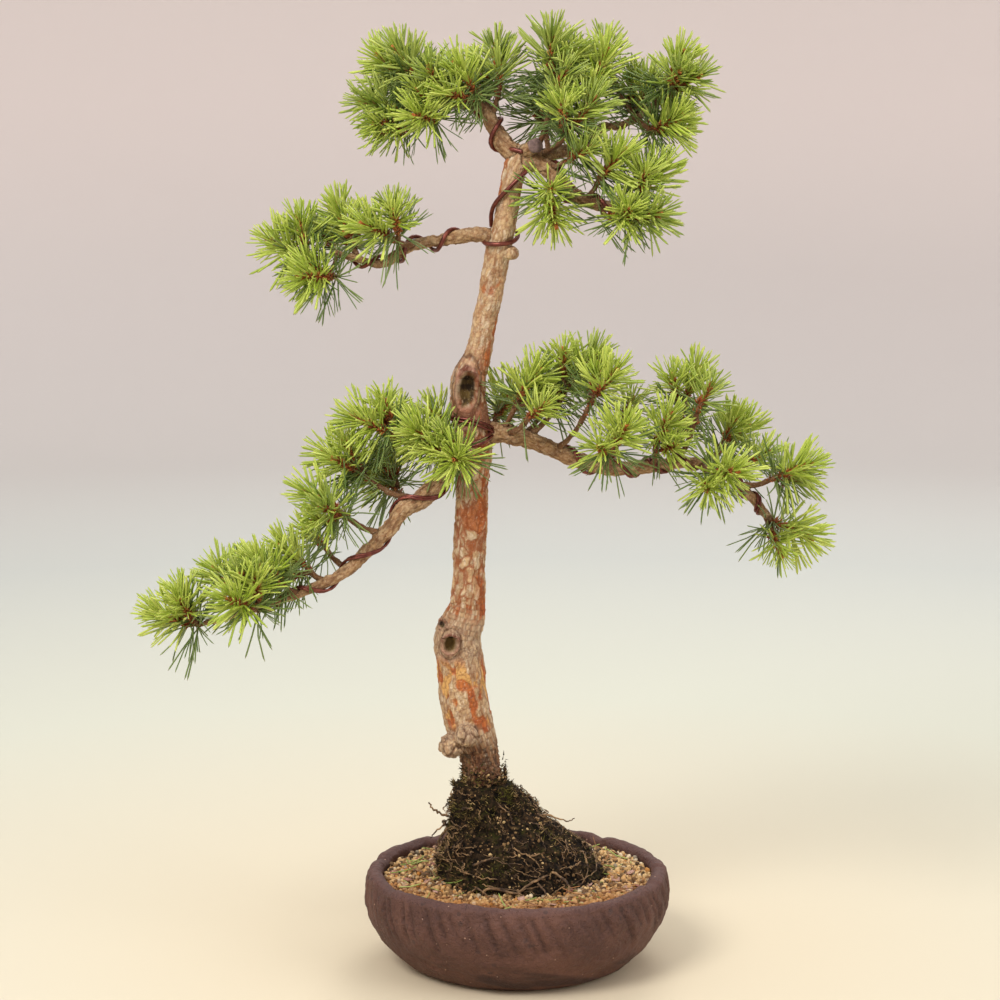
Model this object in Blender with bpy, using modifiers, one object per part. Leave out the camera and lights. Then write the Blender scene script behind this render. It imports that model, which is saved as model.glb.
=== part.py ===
"""Bonsai pine in a hand-made stoneware bowl.

The bowl holds gritty soil over two drain screens, and a mound of root muck stands in the soil.
The tree grows from the mound as one piece of wood, from its roots to its twigs. Each shoot
carries a tuft of needles, and soft wire is coiled round the limbs to train them.
Metres, +Z up, with the origin in the middle of the bowl's flat base.
"""

import math

import bmesh
import bpy
from mathutils import Matrix, Vector

# ---- Driving dimensions, in metres ----

CLEARANCE = 0.0003  # left between pieces that touch

POT_HEIGHT = 0.060
POT_BELLY_RADIUS = 0.096
POT_FOOT_RADIUS = 0.062
POT_WALL = 0.010
POT_FLOOR = 0.009
LIP_INSET = 0.003  # how far the lip draws in from the belly

DRAIN_RADIUS = 0.008
DRAIN_OFFSET = 0.032  # each drain hole's distance from the middle
DRAIN_SINK_RADIUS = 0.0125  # the hollow under each drain hole, which hides the clip's feet
DRAIN_SINK_DEPTH = 0.003
TIE_HOLE_RADIUS = 0.002
TIE_HALF_SPAN = 0.018  # from the middle to each hole of the tie-down wire
TIE_SETBACK = 0.026  # how far behind the middle those holes are
TIE_SLOT_DEPTH = 0.0035

SOIL_DROP = 0.0055  # from the lip down to the soil at the wall
SOIL_CROWN = 0.0015  # how much the soil rises towards the middle
SOIL_GAP = 0.0010  # from the soil to the bowl's wall, whose flats differ from the soil's

MOUND_HEIGHT = 0.057  # above the soil
MOUND_RADIUS = 0.052  # where it meets the soil
MOUND_DEPTH = 0.020  # below the soil
MOUND_COLLAR = 0.005  # muck round the trunk at the mound's top

TRUNK_HEIGHT = 0.397  # from the mound's top to the top of the trunk
CROWN_SPREAD = 0.379  # between the outermost tufts' middles
TRUNK_WIDTH = 0.021  # across the trunk's plain middle stretch
TWIG_RADIUS = 0.0017
ROOT_RADIUS = 0.0024

TUFT_CORE = 0.0045  # radius of the knot of needle bases round a shoot
NEEDLE_REACH = 0.034  # from a shoot's middle to its needle tips

WIRE_DIAMETER = 0.0030
TIE_WIRE_DIAMETER = 0.0015
CLIP_WIRE_DIAMETER = 0.0012
CLIP_BEND = 0.0012  # across the bend at each corner of a clip
CLIP_FOOT = 0.003  # how far a clip's feet run out under the bowl's floor

SCREEN_SIDE = 0.024
SCREEN_THICKNESS = 0.0010
SCREEN_CELLS = 5

PASTE_RADIUS = 0.0048
PASTE_THICKNESS = 0.0022

# ---- The tree as drawn, in millimetres from the mound's top: x right, y back, z up, radius ----

DRAWN_HEIGHT = 397.0
DRAWN_SPREAD = 379.0
DRAWN_WIDTH = 21.0

TRUNK = [
    (-21, 9, -20, 13.0), (-21, 10, -6, 13.0), (-23, 11, 10, 12.8), (-25, 11, 24, 13.5),
    (-31, 10, 40, 15.8), (-34, 9, 58, 16.3), (-36, 7, 78, 15.5), (-38, 6, 93, 15.5),
    (-34, 5, 107, 13.0), (-31, 4, 120, 11.0), (-30, 2, 144, 10.5), (-29, 0, 170, 10.5),
    (-28, 0, 195, 10.5), (-27, 0, 220, 11.5), (-31, 0, 245, 12.0), (-30, 0, 260, 11.0),
    (-25, 0, 273, 8.6), (-21, 0, 290, 8.0), (-17, -1, 310, 7.8), (-13, -4, 332, 8.2),
    (-10, -5, 346, 7.8), (-7, -6, 360, 7.0), (-4, -8, 378, 7.0), (-1, -8, 389, 7.6),
    (3, -8, 397, 6.5),
]
LIMBS = {
    "left": [
        (-32, 0, 218, 8.0), (-42, -6, 205, 6.8), (-50, -11, 194, 6.2), (-60, -15, 185, 6.0),
        (-70, -18, 180, 5.3), (-79, -21, 168, 4.8), (-91, -24, 156, 4.3), (-100, -26, 147, 4.0),
        (-113, -28, 138, 3.7), (-130, -30, 131, 3.2), (-145, -31, 126, 2.8),
        (-160, -32, 120, 2.5), (-176, -33, 115, 2.2), (-192, -34, 112, 1.8),
    ],
    "right": [
        (-24, 0, 225, 8.0), (-8, 2, 224, 6.4), (5, 3, 221, 5.9), (17, 4, 216, 5.6),
        (30, 4, 210, 5.3), (45, 4, 205, 5.0), (60, 4, 202, 4.7), (76, 2, 203, 4.3),
        (91, 0, 205, 4.0), (106, -2, 207, 3.7), (120, -3, 204, 3.5), (131, -4, 197, 3.1),
        (142, -5, 188, 2.9), (150, -5, 179, 2.8), (156, -4, 170, 2.7), (160, -3, 159, 2.6),
    ],
    "upper_left": [
        (-12, -4, 344, 6.0), (-23, -3, 347, 4.7), (-34, -2, 346, 4.3), (-47, 0, 343, 3.8),
        (-57, 2, 342, 3.5), (-67, 3, 339, 3.7), (-75, 4, 334, 3.6), (-83, 5, 329, 3.3),
        (-93, 6, 330, 2.8), (-103, 6, 333, 2.4), (-113, 6, 336, 2.0),
    ],
    "apex_left": [
        (2, -8, 394, 6.2), (-6, -8, 399, 5.7), (-11, -6, 405, 5.4), (-16, -3, 414, 4.8),
        (-19, 0, 421, 4.6), (-25, 2, 426, 3.9), (-34, 3, 426, 3.4), (-45, 4, 427, 2.7),
        (-54, 4, 429, 2.1),
    ],
    "apex_back": [
        (2, -8, 394, 6.0), (16, 2, 395, 4.5), (27, 10, 397, 4.2), (38, 16, 399, 4.0),
        (46, 20, 405, 3.6), (51, 20, 411, 3.1), (63, 20, 413, 2.8), (76, 19, 419, 2.4),
        (86, 17, 427, 2.0),
    ],
    "apex_right": [
        (2, -9, 393, 6.0), (16, -14, 388, 5.4), (25, -16, 380, 5.1), (34, -17, 371, 4.7),
        (46, -17, 366, 3.9), (58, -17, 364, 3.3), (68, -17, 365, 2.7),
    ],
}
CUT_STUB = [(3, -9, 396, 5.0), (10, -21, 401, 4.2)]  # where a leader was sawn off

# The middle of each tuft, under the limb that its twig grows from.
SHOOTS = {
    "left": [
        (-210, -34, 114), (-178, -12, 133), (-166, -62, 129), (-153, -42, 146),
        (-138, -20, 151), (-118, -24, 185), (-109, 8, 206), (-87, 26, 192), (-89, -6, 230),
        (-57, -18, 225), (-36, -34, 213),
    ],
    "right": [
        (-6, 20, 243), (6, -8, 255), (28, 20, 252), (40, 0, 264), (52, -26, 257),
        (60, -46, 227), (88, -22, 229), (107, 8, 253), (136, 24, 219), (124, -38, 205),
        (169, -14, 203), (168, -8, 166),
    ],
    "upper_left": [
        (-106, 12, 352), (-85, -18, 350), (-142, 8, 338), (-122, -14, 322),
    ],
    "apex_left": [
        (-68, 4, 450), (-45, 18, 438), (-56, -16, 418), (-32, -12, 441), (-12, -2, 446),
        (-88, 2, 424), (-88, 14, 457),
    ],
    "apex_back": [
        (20, 0, 455), (18, 22, 428), (50, 12, 446), (38, -22, 419), (78, 36, 431),
        (96, 10, 448), (90, 2, 414),
    ],
    "apex_right": [
        (80, -14, 380), (76, -32, 359), (56, -26, 390), (18, -36, 370),
    ],
}
BURLS = [  # height, then how far right and back of the trunk's middle, and the radius
    (24, (-17, -12), 8.0), (34, (-6.2, -16.4), 7.0), (336, (8.1, -6.7), 4.6),
]
HOLLOWS = [  # height and offset as for a burl, then half the width, depth and height
    (252, (-0.5, -13), (5.0, 6.0, 11.5)),
    (92, (-8.1, -17), (3.4, 4.0, 5.2)),
]
ROOT_BEARINGS = [-150, -112, -72, -38, 8, 62, 128]  # degrees round the mound, -90 is the front

# Where each training wire crosses the front of its limb, as fractions of the limb's length.
WIRE_CROSSINGS = {
    "left": [0.22, 0.47, 0.66, 0.83],
    "right": [0.31, 0.45, 0.54, 0.63, 0.72, 0.81, 0.88],
    "upper_left": [0.32, 0.55, 0.78],
    "apex_left": [0.30, 0.62],
    "apex_right": [0.38, 0.80],
}
LEFT_HANDED = ["upper_left"]  # the coils that turn the other way


# ---- Collections, materials and helpers ----

for old in list(bpy.data.objects):
    bpy.data.objects.remove(old)

pieces = bpy.data.collections.new("potted_bonsai_pine")
cutters = bpy.data.collections.new("cutters")
bpy.context.scene.collection.children.link(pieces)
bpy.context.scene.collection.children.link(cutters)
cutters.hide_render = True


def material(name, colour, roughness, metallic=0.0):
    made = bpy.data.materials.new(name)
    made.use_nodes = True
    shader = made.node_tree.nodes["Principled BSDF"]
    shader.inputs["Base Color"].default_value = (*colour, 1.0)
    shader.inputs["Roughness"].default_value = roughness
    shader.inputs["Metallic"].default_value = metallic
    return made


STONEWARE = material("stoneware", (0.085, 0.045, 0.032), 0.75)
GRIT = material("gritty_soil", (0.42, 0.27, 0.12), 0.95)
MUCK = material("root_muck", (0.045, 0.032, 0.022), 0.95)
BARK = material("bark", (0.36, 0.25, 0.17), 0.9)
NEEDLES = material("needles", (0.20, 0.30, 0.05), 0.55)
TRAINING_WIRE = material("anodised_wire", (0.10, 0.035, 0.025), 0.35, 1.0)
TIE_WIRE = material("plain_wire", (0.60, 0.60, 0.60), 0.4, 1.0)
SCREEN_PLASTIC = material("screen_plastic", (0.03, 0.03, 0.03), 0.5)
CUT_PASTE = material("cut_paste", (0.22, 0.17, 0.18), 0.6)


def place(name, data, finish, cutter=False):
    """A new object with this data. A cutter stays out of the render."""
    made = bpy.data.objects.new(name, data)
    (cutters if cutter else pieces).objects.link(made)
    if cutter:
        made.hide_render = True
        made.display_type = "WIRE"
    else:
        data.materials.append(finish)
    return made


def mesh_from(bm, name):
    bmesh.ops.recalc_face_normals(bm, faces=bm.faces)
    mesh = bpy.data.meshes.new(name)
    bm.to_mesh(mesh)
    bm.free()
    return mesh


def smooth(mesh, degrees=45):
    mesh.shade_smooth()
    mesh.set_sharp_from_angle(angle=math.radians(degrees))


def tube(name, path, radii, sides=8, closed=False):
    """A curve of round section along the path, with its radius at each point."""
    unit = 0.001
    curve = bpy.data.curves.new(name, "CURVE")
    curve.dimensions = "3D"
    curve.bevel_depth = unit
    curve.bevel_resolution = (sides - 4) // 2
    curve.use_fill_caps = True
    spline = curve.splines.new("POLY")
    spline.points.add(len(path) - 1)
    for point, where, radius in zip(spline.points, path, radii):
        point.co = (*where, 1.0)
        point.radius = radius / unit
    spline.use_cyclic_u = closed
    return curve


def as_mesh(name, curve, finish=None, cutter=False):
    """The curve as a closed mesh object, for a Boolean to join or cut."""
    source = bpy.data.objects.new(name + "_curve", curve)
    bpy.context.scene.collection.objects.link(source)
    graph = bpy.context.evaluated_depsgraph_get()
    mesh = bpy.data.meshes.new_from_object(source.evaluated_get(graph))
    bm = bmesh.new()
    bm.from_mesh(mesh)
    bmesh.ops.remove_doubles(bm, verts=bm.verts, dist=0.000005)
    bmesh.ops.recalc_face_normals(bm, faces=bm.faces)
    bm.to_mesh(mesh)
    bm.free()
    mesh.materials.clear()
    bpy.data.objects.remove(source)
    return place(name, mesh, finish, cutter)


def boolean(target, operation, others, name, solver="EXACT"):
    """Booleans of the target with each of the others in turn."""
    for number, other in enumerate(others):
        modifier = target.modifiers.new(f"{name}_{number}", "BOOLEAN")
        modifier.operation = operation
        modifier.object = other
        modifier.solver = solver


def turned(name, outline, finish, steps=40):
    """A solid turned round the Z axis from an outline of (radius, height)."""
    bm = bmesh.new()
    points = [bm.verts.new((radius, 0, height)) for radius, height in outline]
    for upper, lower in zip(points, points[1:]):
        bm.edges.new((upper, lower))
    mesh = bpy.data.meshes.new(name)
    bm.to_mesh(mesh)
    bm.free()
    made = place(name, mesh, finish)
    screw = made.modifiers.new("turn", "SCREW")
    screw.steps = steps
    screw.render_steps = steps
    screw.use_merge_vertices = True
    screw.merge_threshold = 0.0001
    screw.use_smooth_shade = True
    return made


def disc_cutter(name, x, y, radius, low, high, sides=24):
    bm = bmesh.new()
    middle = Matrix.Translation((x, y, (low + high) / 2))
    bmesh.ops.create_cone(
        bm, cap_ends=True, segments=sides, radius1=radius, radius2=radius,
        depth=high - low, matrix=middle,
    )
    return place(name, mesh_from(bm, name), None, cutter=True)


def box_cutter(name, low, high):
    bm = bmesh.new()
    size = Vector(high) - Vector(low)
    middle = (Vector(high) + Vector(low)) / 2
    bmesh.ops.create_cube(
        bm, size=1.0, matrix=Matrix.Translation(middle) @ Matrix.Diagonal((*size, 1.0))
    )
    return place(name, mesh_from(bm, name), None, cutter=True)


def rounded(values, per_span):
    """Catmull-Rom points through the given ones, per_span to each stretch."""
    points = [Vector(value) for value in values]
    padded = [2 * points[0] - points[1], *points, 2 * points[-1] - points[-2]]
    found = []
    for a, b, c, d in zip(padded, padded[1:], padded[2:], padded[3:]):
        for step in range(per_span):
            t = step / per_span
            found.append(
                0.5 * (2 * b + (c - a) * t + (2 * a - 5 * b + 4 * c - d) * t**2
                       + (3 * b - a - 3 * c + d) * t**3)
            )
    return found + [points[-1]]


# ---- The bowl: thick hand-made stoneware, drained by two holes ----

def bowl_radius(height):
    """The bowl's outer radius at this height: it swells fast from the foot, then stands up."""
    share = min(max(height / (0.78 * POT_HEIGHT), 0.0), 1.0)
    swell = math.sin(0.5 * math.pi * share) ** 0.62
    draw_in = max(height / POT_HEIGHT - 0.78, 0.0) / 0.22
    return (
        POT_FOOT_RADIUS
        + (POT_BELLY_RADIUS - POT_FOOT_RADIUS) * swell
        - LIP_INSET * draw_in**2
    )


LIP_ROUND = 0.45 * POT_WALL
LIP_LEVEL = POT_HEIGHT - LIP_ROUND
outer_heights = [LIP_LEVEL - (LIP_LEVEL * step / 6) for step in range(7)]
inner_heights = [POT_FLOOR + (LIP_LEVEL - POT_FLOOR) * step / 4 for step in range(5)]
lip_middle = bowl_radius(LIP_LEVEL) - POT_WALL / 2
lip_arc = [
    (
        lip_middle - 0.5 * POT_WALL * math.cos(math.pi * step / 5),
        LIP_LEVEL + LIP_ROUND * math.sin(math.pi * step / 5),
    )
    for step in range(1, 5)
]
pot = turned(
    "pot",
    [
        (0, POT_FLOOR),
        *[(bowl_radius(height) - POT_WALL, height) for height in inner_heights],
        *lip_arc,
        *[(bowl_radius(height), height) for height in outer_heights],
        (0, 0),
    ],
    STONEWARE,
)
drains = []
for side in (-1, 1):
    x = side * DRAIN_OFFSET
    drains.append(disc_cutter("drain_hole", x, 0, DRAIN_RADIUS, -0.01, POT_FLOOR + 0.01))
    drains.append(
        disc_cutter("drain_sink", x, 0, DRAIN_SINK_RADIUS, -0.01, DRAIN_SINK_DEPTH)
    )
    drains.append(
        disc_cutter(
            "tie_hole", side * TIE_HALF_SPAN, TIE_SETBACK, TIE_HOLE_RADIUS,
            -0.01, POT_FLOOR + 0.01, sides=12,
        )
    )
drains.append(
    box_cutter(
        "tie_slot",
        (-TIE_HALF_SPAN, TIE_SETBACK - TIE_HOLE_RADIUS, -0.01),
        (TIE_HALF_SPAN, TIE_SETBACK + TIE_HOLE_RADIUS, TIE_SLOT_DEPTH),
    )
)
boolean(pot, "DIFFERENCE", drains, "pot_holes")


# ---- The soil and the mound of root muck standing in it ----

SOIL_LEVEL = POT_HEIGHT - SOIL_DROP
MOUND_TOP = SOIL_LEVEL + MOUND_HEIGHT
tree_up = TRUNK_HEIGHT / DRAWN_HEIGHT
tree_out = CROWN_SPREAD / DRAWN_SPREAD
tree_girth = TRUNK_WIDTH / DRAWN_WIDTH


def grown(drawn):
    """A drawn point in metres, in the part's own frame."""
    x, y, z = drawn[:3]
    return Vector((x * tree_out, y * tree_out, MOUND_TOP + z * tree_up))


foot_radius = TRUNK[1][3] * tree_girth
foot_middle = grown(TRUNK[1])
SPREAD_BY_HEIGHT = [  # of the mound: fraction of its height, fraction of its spread
    (1.0, 0.0), (0.88, 0.13), (0.68, 0.32), (0.52, 0.50), (0.32, 0.78), (0.05, 1.0),
]


def mound_ring(height_share, spread, grow=0.0):
    """Middle and half-widths of the mound at this share of its height."""
    radius = foot_radius + MOUND_COLLAR
    radius += (MOUND_RADIUS - radius) * spread + grow
    x = foot_middle.x * (1 - spread) + 0.002 * spread
    y = foot_middle.y * (1 - spread)
    return Vector((x, y, SOIL_LEVEL + MOUND_HEIGHT * height_share)), radius


def mound(name, grow, finish, cutter=False):
    """The mound as rings bridged from its buried bottom to the trunk."""
    rings = [mound_ring(share, spread, grow) for share, spread in SPREAD_BY_HEIGHT]
    rings[0][0].z += grow
    bottom, radius = mound_ring(0.0, 1.0, grow)
    bottom.z -= MOUND_DEPTH + grow
    rings.append((bottom, 0.9 * radius))
    bm = bmesh.new()
    loops = []
    for middle, radius in rings:
        loop = bmesh.ops.create_circle(
            bm, segments=28, radius=radius, matrix=Matrix.Translation(middle)
        )
        loops.append(list({edge for vert in loop["verts"] for edge in vert.link_edges}))
    for upper, lower in zip(loops, loops[1:]):
        bmesh.ops.bridge_loops(bm, edges=upper + lower)
    for end in (loops[0], loops[-1]):
        bmesh.ops.contextual_create(bm, geom=end)
    return place(name, mesh_from(bm, name), finish, cutter)


def on_mound(bearing, height_share):
    """The point of the mound's surface at this bearing, in degrees, and share of its height."""
    table = list(reversed(SPREAD_BY_HEIGHT))
    spread = 1.0
    for (low, wide), (high, narrow) in zip(table, table[1:]):
        if low <= height_share <= high:
            spread = wide + (narrow - wide) * (height_share - low) / (high - low)
    middle, radius = mound_ring(height_share, spread)
    angle = math.radians(bearing)
    return middle + radius * Vector((math.cos(angle), math.sin(angle), 0))


def root_line(bearing):
    """A surface root: out of the trunk's foot, down over the mound and into the soil."""
    start = foot_middle - Vector((0, 0, 0.002))
    sway = 9 * math.sin(bearing)
    over = [
        on_mound(bearing + sway * bend, share)
        for share, bend in ((0.74, 0), (0.50, 0.5), (0.28, 1.0), (0.05, 0.6))
    ]
    out = (over[-1] - Vector((foot_middle.x, foot_middle.y, over[-1].z))).normalized()
    end = over[-1] + 0.010 * out - Vector((0, 0, 0.009))
    return rounded([start, *over, end], 2)


def root_tubes(grow, name):
    found = []
    for number, bearing in enumerate(ROOT_BEARINGS):
        line = root_line(bearing)
        last = len(line) - 1
        radii = [
            (1.35 - 0.85 * step / last) * ROOT_RADIUS + grow for step in range(last + 1)
        ]
        if grow:
            line = [*line, line[-1] + grow * (line[-1] - line[-2]).normalized()]
            radii.append(radii[-1])
        found.append(
            as_mesh(f"{name}_{number}", tube(name, line, radii, sides=6), cutter=True)
        )
    return found


def foot_tube(grow):
    """The part of the trunk that stands in the mound, and a little above it."""
    line = [grown(point) for point in TRUNK[:4]]
    radii = [point[3] * tree_girth + grow for point in TRUNK[:4]]
    line[0].z -= grow
    return as_mesh("foot_tool", tube("foot_tool", line, radii, sides=12), cutter=True)


tie_top = SOIL_LEVEL - 0.006
tie_low = TIE_WIRE_DIAMETER / 2 + 0.001
TIE_LINE = [
    Vector((side * TIE_HALF_SPAN, TIE_SETBACK, height))
    for side, height in (
        (-1, tie_low), (-1, tie_top - 0.006), (-0.75, tie_top - 0.001), (0, tie_top),
        (0.75, tie_top - 0.001), (1, tie_top - 0.006), (1, tie_low),
    )
]


def tie_wire(name, radius):
    return tube(name, TIE_LINE, [radius] * len(TIE_LINE), sides=8, closed=True)


def soil_outline():
    """Down the bowl's inner wall and over its floor, from the middle of the top."""
    rows = []
    for step in range(4):
        radius = (bowl_radius(SOIL_LEVEL) - POT_WALL - SOIL_GAP) * step / 3
        rows.append((radius, SOIL_LEVEL + SOIL_CROWN * (1 - (step / 3) ** 2)))
    low = POT_FLOOR + CLEARANCE
    for step in range(1, 5):
        height = SOIL_LEVEL + (low - SOIL_LEVEL) * step / 4
        rows.append((bowl_radius(height) - POT_WALL - SOIL_GAP, height))
    return [*rows, (0, low)]


soil = turned("soil", soil_outline(), GRIT)
screen_top = POT_FLOOR + CLEARANCE + SCREEN_THICKNESS
clip_level = screen_top + CLEARANCE + CLIP_WIRE_DIAMETER / 2
soil_tools = []
half = SCREEN_SIDE / 2 + SCREEN_THICKNESS / 2 + CLEARANCE
for side in (-1, 1):
    x = side * DRAIN_OFFSET
    soil_tools.append(
        box_cutter(
            "screen_space",
            (x - half, -half, POT_FLOOR - 0.01),
            (x + half, half, clip_level + CLIP_WIRE_DIAMETER / 2 + CLEARANCE),
        )
    )
soil_tools.append(
    as_mesh(
        "soil_tie_tool",
        tie_wire("soil_tie_tool", TIE_WIRE_DIAMETER / 2 + CLEARANCE),
        cutter=True,
    )
)
soil_tools.append(mound("mound_hollow", CLEARANCE, None, cutter=True))
soil_tools += root_tubes(CLEARANCE, "soil_root_tool")
# The exact solver leaves open edges where the tie wire's tunnel meets the mound's hollow.
boolean(soil, "DIFFERENCE", soil_tools, "soil_spaces", solver="MANIFOLD")

root_mound = mound("root_mound", 0.0, MUCK)
smooth(root_mound.data)
mound_tools = [foot_tube(CLEARANCE), *root_tubes(CLEARANCE, "mound_root_tool")]
mound_tools.append(
    as_mesh(
        "mound_tie_tool",
        tie_wire("mound_tie_tool", TIE_WIRE_DIAMETER / 2 + CLEARANCE),
        cutter=True,
    )
)
boolean(root_mound, "DIFFERENCE", mound_tools, "mound_spaces")

tie = place("tie_down_wire", tie_wire("tie_down_wire", TIE_WIRE_DIAMETER / 2), TIE_WIRE)


# ---- Drain screens, each held down by a bent wire clip through its hole ----

for side, label in ((-1, "left"), (1, "right")):
    x = side * DRAIN_OFFSET
    bm = bmesh.new()
    level = Matrix.Translation((x, 0, POT_FLOOR + CLEARANCE + SCREEN_THICKNESS / 2))
    bmesh.ops.create_grid(
        bm, x_segments=SCREEN_CELLS, y_segments=SCREEN_CELLS, size=SCREEN_SIDE / 2,
        matrix=level,
    )
    screen = place(f"drain_screen_{label}", mesh_from(bm, "drain_screen"), SCREEN_PLASTIC)
    lattice = screen.modifiers.new("lattice", "WIREFRAME")
    lattice.thickness = SCREEN_THICKNESS
    lattice.use_replace = True
    lattice.use_boundary = True

    leg = SCREEN_SIDE / SCREEN_CELLS  # each leg goes down through the middle of a cell
    low = CLIP_WIRE_DIAMETER / 2 + 2 * CLEARANCE
    half_clip = [
        (leg - CLIP_BEND, clip_level), (leg, clip_level - CLIP_BEND),
        (leg, low + CLIP_BEND), (leg + CLIP_BEND, low), (leg + CLIP_BEND + CLIP_FOOT, low),
    ]
    clip_line = [Vector((x - along, 0, height)) for along, height in reversed(half_clip)]
    clip_line += [Vector((x + along, 0, height)) for along, height in half_clip]
    radii = [CLIP_WIRE_DIAMETER / 2] * len(clip_line)
    place(f"screen_clip_{label}", tube("screen_clip", clip_line, radii, sides=8), TIE_WIRE)


# ---- The lines of the trunk and limbs ----

def limb_tube(name, drawn, sides):
    """A limb's line and radii, and the tube that tapers with them."""
    line = [grown(point) for point in drawn]
    radii = [point[3] * tree_girth for point in drawn]
    return line, radii, tube(name, line, radii, sides)


def length_of(line):
    return sum((b - a).length for a, b in zip(line, line[1:]))


def at(line, radii, distance):
    """The line's point, radius and heading at this distance from its start."""
    left = distance
    for index, (a, b) in enumerate(zip(line, line[1:])):
        step = (b - a).length
        if left <= step or index == len(line) - 2:
            share = left / step
            before = line[max(index - 1, 0)]
            after = line[min(index + 2, len(line) - 1)]
            radius = radii[index] + share * (radii[index + 1] - radii[index])
            return a.lerp(b, share), radius, (after - before).normalized()
        left -= step


def distance_to(segment, point):
    """From the point to the surface of a round segment of (start, end, radius)."""
    start, end, radius = segment
    along = end - start
    share = min(max((point - start).dot(along) / along.length_squared, 0.0), 1.0)
    return (point - start - share * along).length - radius


lines = {}
wood = []
obstacles = []
for name, drawn in LIMBS.items():
    line, radii, curve = limb_tube(name, drawn, sides=8)
    lines[name] = (line, radii)
    obstacles += list(zip(line, line[1:], radii))
    wood.append(as_mesh(f"limb_{name}", curve, cutter=True))
trunk_line, trunk_radii, trunk_curve = limb_tube("trunk_and_branches", TRUNK, sides=12)
obstacles += list(zip(trunk_line, trunk_line[1:], trunk_radii))


# ---- The training wires: soft wire coiled along the limbs ----

COIL_POINTS = 10  # to each turn
COIL_SIDES = 6


def coil(line, radii, crossings, hand):
    """A helix on the limb that crosses its front at the given fractions of its length."""
    first = crossings[0] - 0.5 * (crossings[1] - crossings[0])
    last = min(crossings[-1] + 0.5 * (crossings[-1] - crossings[-2]), 0.985)
    marks = [first, *crossings, last]
    turns = [-0.5, *range(len(crossings)), len(crossings) - 0.5]
    stand_off = WIRE_DIAMETER / 2 + 3 * CLEARANCE
    path = []
    for step in range(int((turns[-1] - turns[0]) * COIL_POINTS) + 1):
        turn = turns[0] + step / COIL_POINTS
        span = max(i for i in range(len(turns) - 1) if turns[i] <= turn + 1e-9)
        share = (turn - turns[span]) / (turns[span + 1] - turns[span])
        mark = marks[span] + share * (marks[span + 1] - marks[span])
        middle, radius, heading = at(line, radii, mark * length_of(line))
        front = Vector((0, -1, 0))
        front = (front - front.dot(heading) * heading).normalized()
        side = heading.cross(front)
        angle = 2 * math.pi * turn * hand
        reach = (radius + stand_off) / math.cos(math.pi / COIL_POINTS)
        path.append(middle + reach * (math.cos(angle) * front + math.sin(angle) * side))
    return path


wire_segments = []
for name, crossings in WIRE_CROSSINGS.items():
    line, radii = lines[name]
    hand = -1 if name in LEFT_HANDED else 1
    path = coil(line, radii, crossings, hand)
    wire_radii = [WIRE_DIAMETER / 2] * len(path)
    wire = tube(f"training_wire_{name}", path, wire_radii, COIL_SIDES)
    place(f"training_wire_{name}", wire, TRAINING_WIRE)
    wire_segments += list(zip(path, path[1:], wire_radii))
obstacles += wire_segments


# ---- The tree: roots, trunk, limbs and twigs, grown as one piece of wood ----

TWIG_LEAD = 0.012  # a twig leaves its limb this far before the point nearest its tuft
TWIG_SHIFT = 0.002  # how far a twig moves along its limb at a time, to miss the wire
TWIG_SAMPLES = 24


def twig_line(start, middle):
    """A twig that dips a little from the limb and rises to the tuft's core."""
    bend = start.lerp(middle, 0.5)
    bend.z -= 0.12 * (middle - start).length
    aim = (middle - bend).normalized()
    end = middle - (TUFT_CORE + CLEARANCE) * aim
    return rounded([start, bend, end], 2)


def misses_wires(twig):
    for a, b in zip(twig, twig[1:]):
        for step in range(TWIG_SAMPLES):
            point = a.lerp(b, step / TWIG_SAMPLES)
            for segment in wire_segments:
                if distance_to(segment, point) < 1.15 * TWIG_RADIUS + CLEARANCE:
                    return False
    return True


def twig_to(middle, line, radii):
    """The twig to this tuft, from the first place on the limb where no wire is in its way."""
    whole = length_of(line)
    steps = int(whole / TWIG_SHIFT)
    nearest = min(
        range(steps + 1),
        key=lambda step: (at(line, radii, step * TWIG_SHIFT)[0] - middle).length,
    )
    wanted = max(nearest - TWIG_LEAD / TWIG_SHIFT, 1)
    if nearest == steps:
        wanted = steps
    for step in sorted(range(1, steps + 1), key=lambda step: abs(step - wanted)):
        twig = twig_line(at(line, radii, step * TWIG_SHIFT)[0], middle)
        if misses_wires(twig):
            return twig
    return twig_line(line[-1], middle)


tufts = []
for name, shoots in SHOOTS.items():
    line, radii = lines[name]
    for number, drawn in enumerate(shoots):
        middle = grown(drawn)
        twig = twig_to(middle, line, radii)
        last = len(twig) - 1
        widths = [TWIG_RADIUS * (1.15 - 0.45 * step / last) for step in range(last + 1)]
        wood.append(
            as_mesh(f"twig_{name}_{number}", tube("twig", twig, widths, sides=6), cutter=True)
        )
        obstacles += list(zip(twig, twig[1:], widths))
        tufts.append((f"needle_tuft_{name}_{number + 1:02d}", middle))



def on_trunk(height, offset):
    """A point off the trunk's middle at a drawn height, as far out as the trunk is thick."""
    for lower, upper in zip(TRUNK, TRUNK[1:]):
        if lower[2] <= height <= upper[2]:
            share = (height - lower[2]) / (upper[2] - lower[2])
            middle = grown(lower).lerp(grown(upper), share)
            return middle + tree_girth * Vector((*offset, 0))


for number, (height, offset, radius) in enumerate(BURLS):
    bm = bmesh.new()
    bmesh.ops.create_icosphere(
        bm, subdivisions=2, radius=radius * tree_girth,
        matrix=Matrix.Translation(on_trunk(height, offset)),
    )
    wood.append(place(f"burl_{number}", mesh_from(bm, "burl"), None, cutter=True))
stub_line, _, stub_curve = limb_tube("cut_stub", CUT_STUB, sides=8)
wood.append(as_mesh("cut_stub", stub_curve, cutter=True))
wood += root_tubes(0.0, "root")

tree = as_mesh("trunk_and_branches", trunk_curve, BARK)
boolean(tree, "UNION", wood, "limbs_and_roots")

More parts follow.
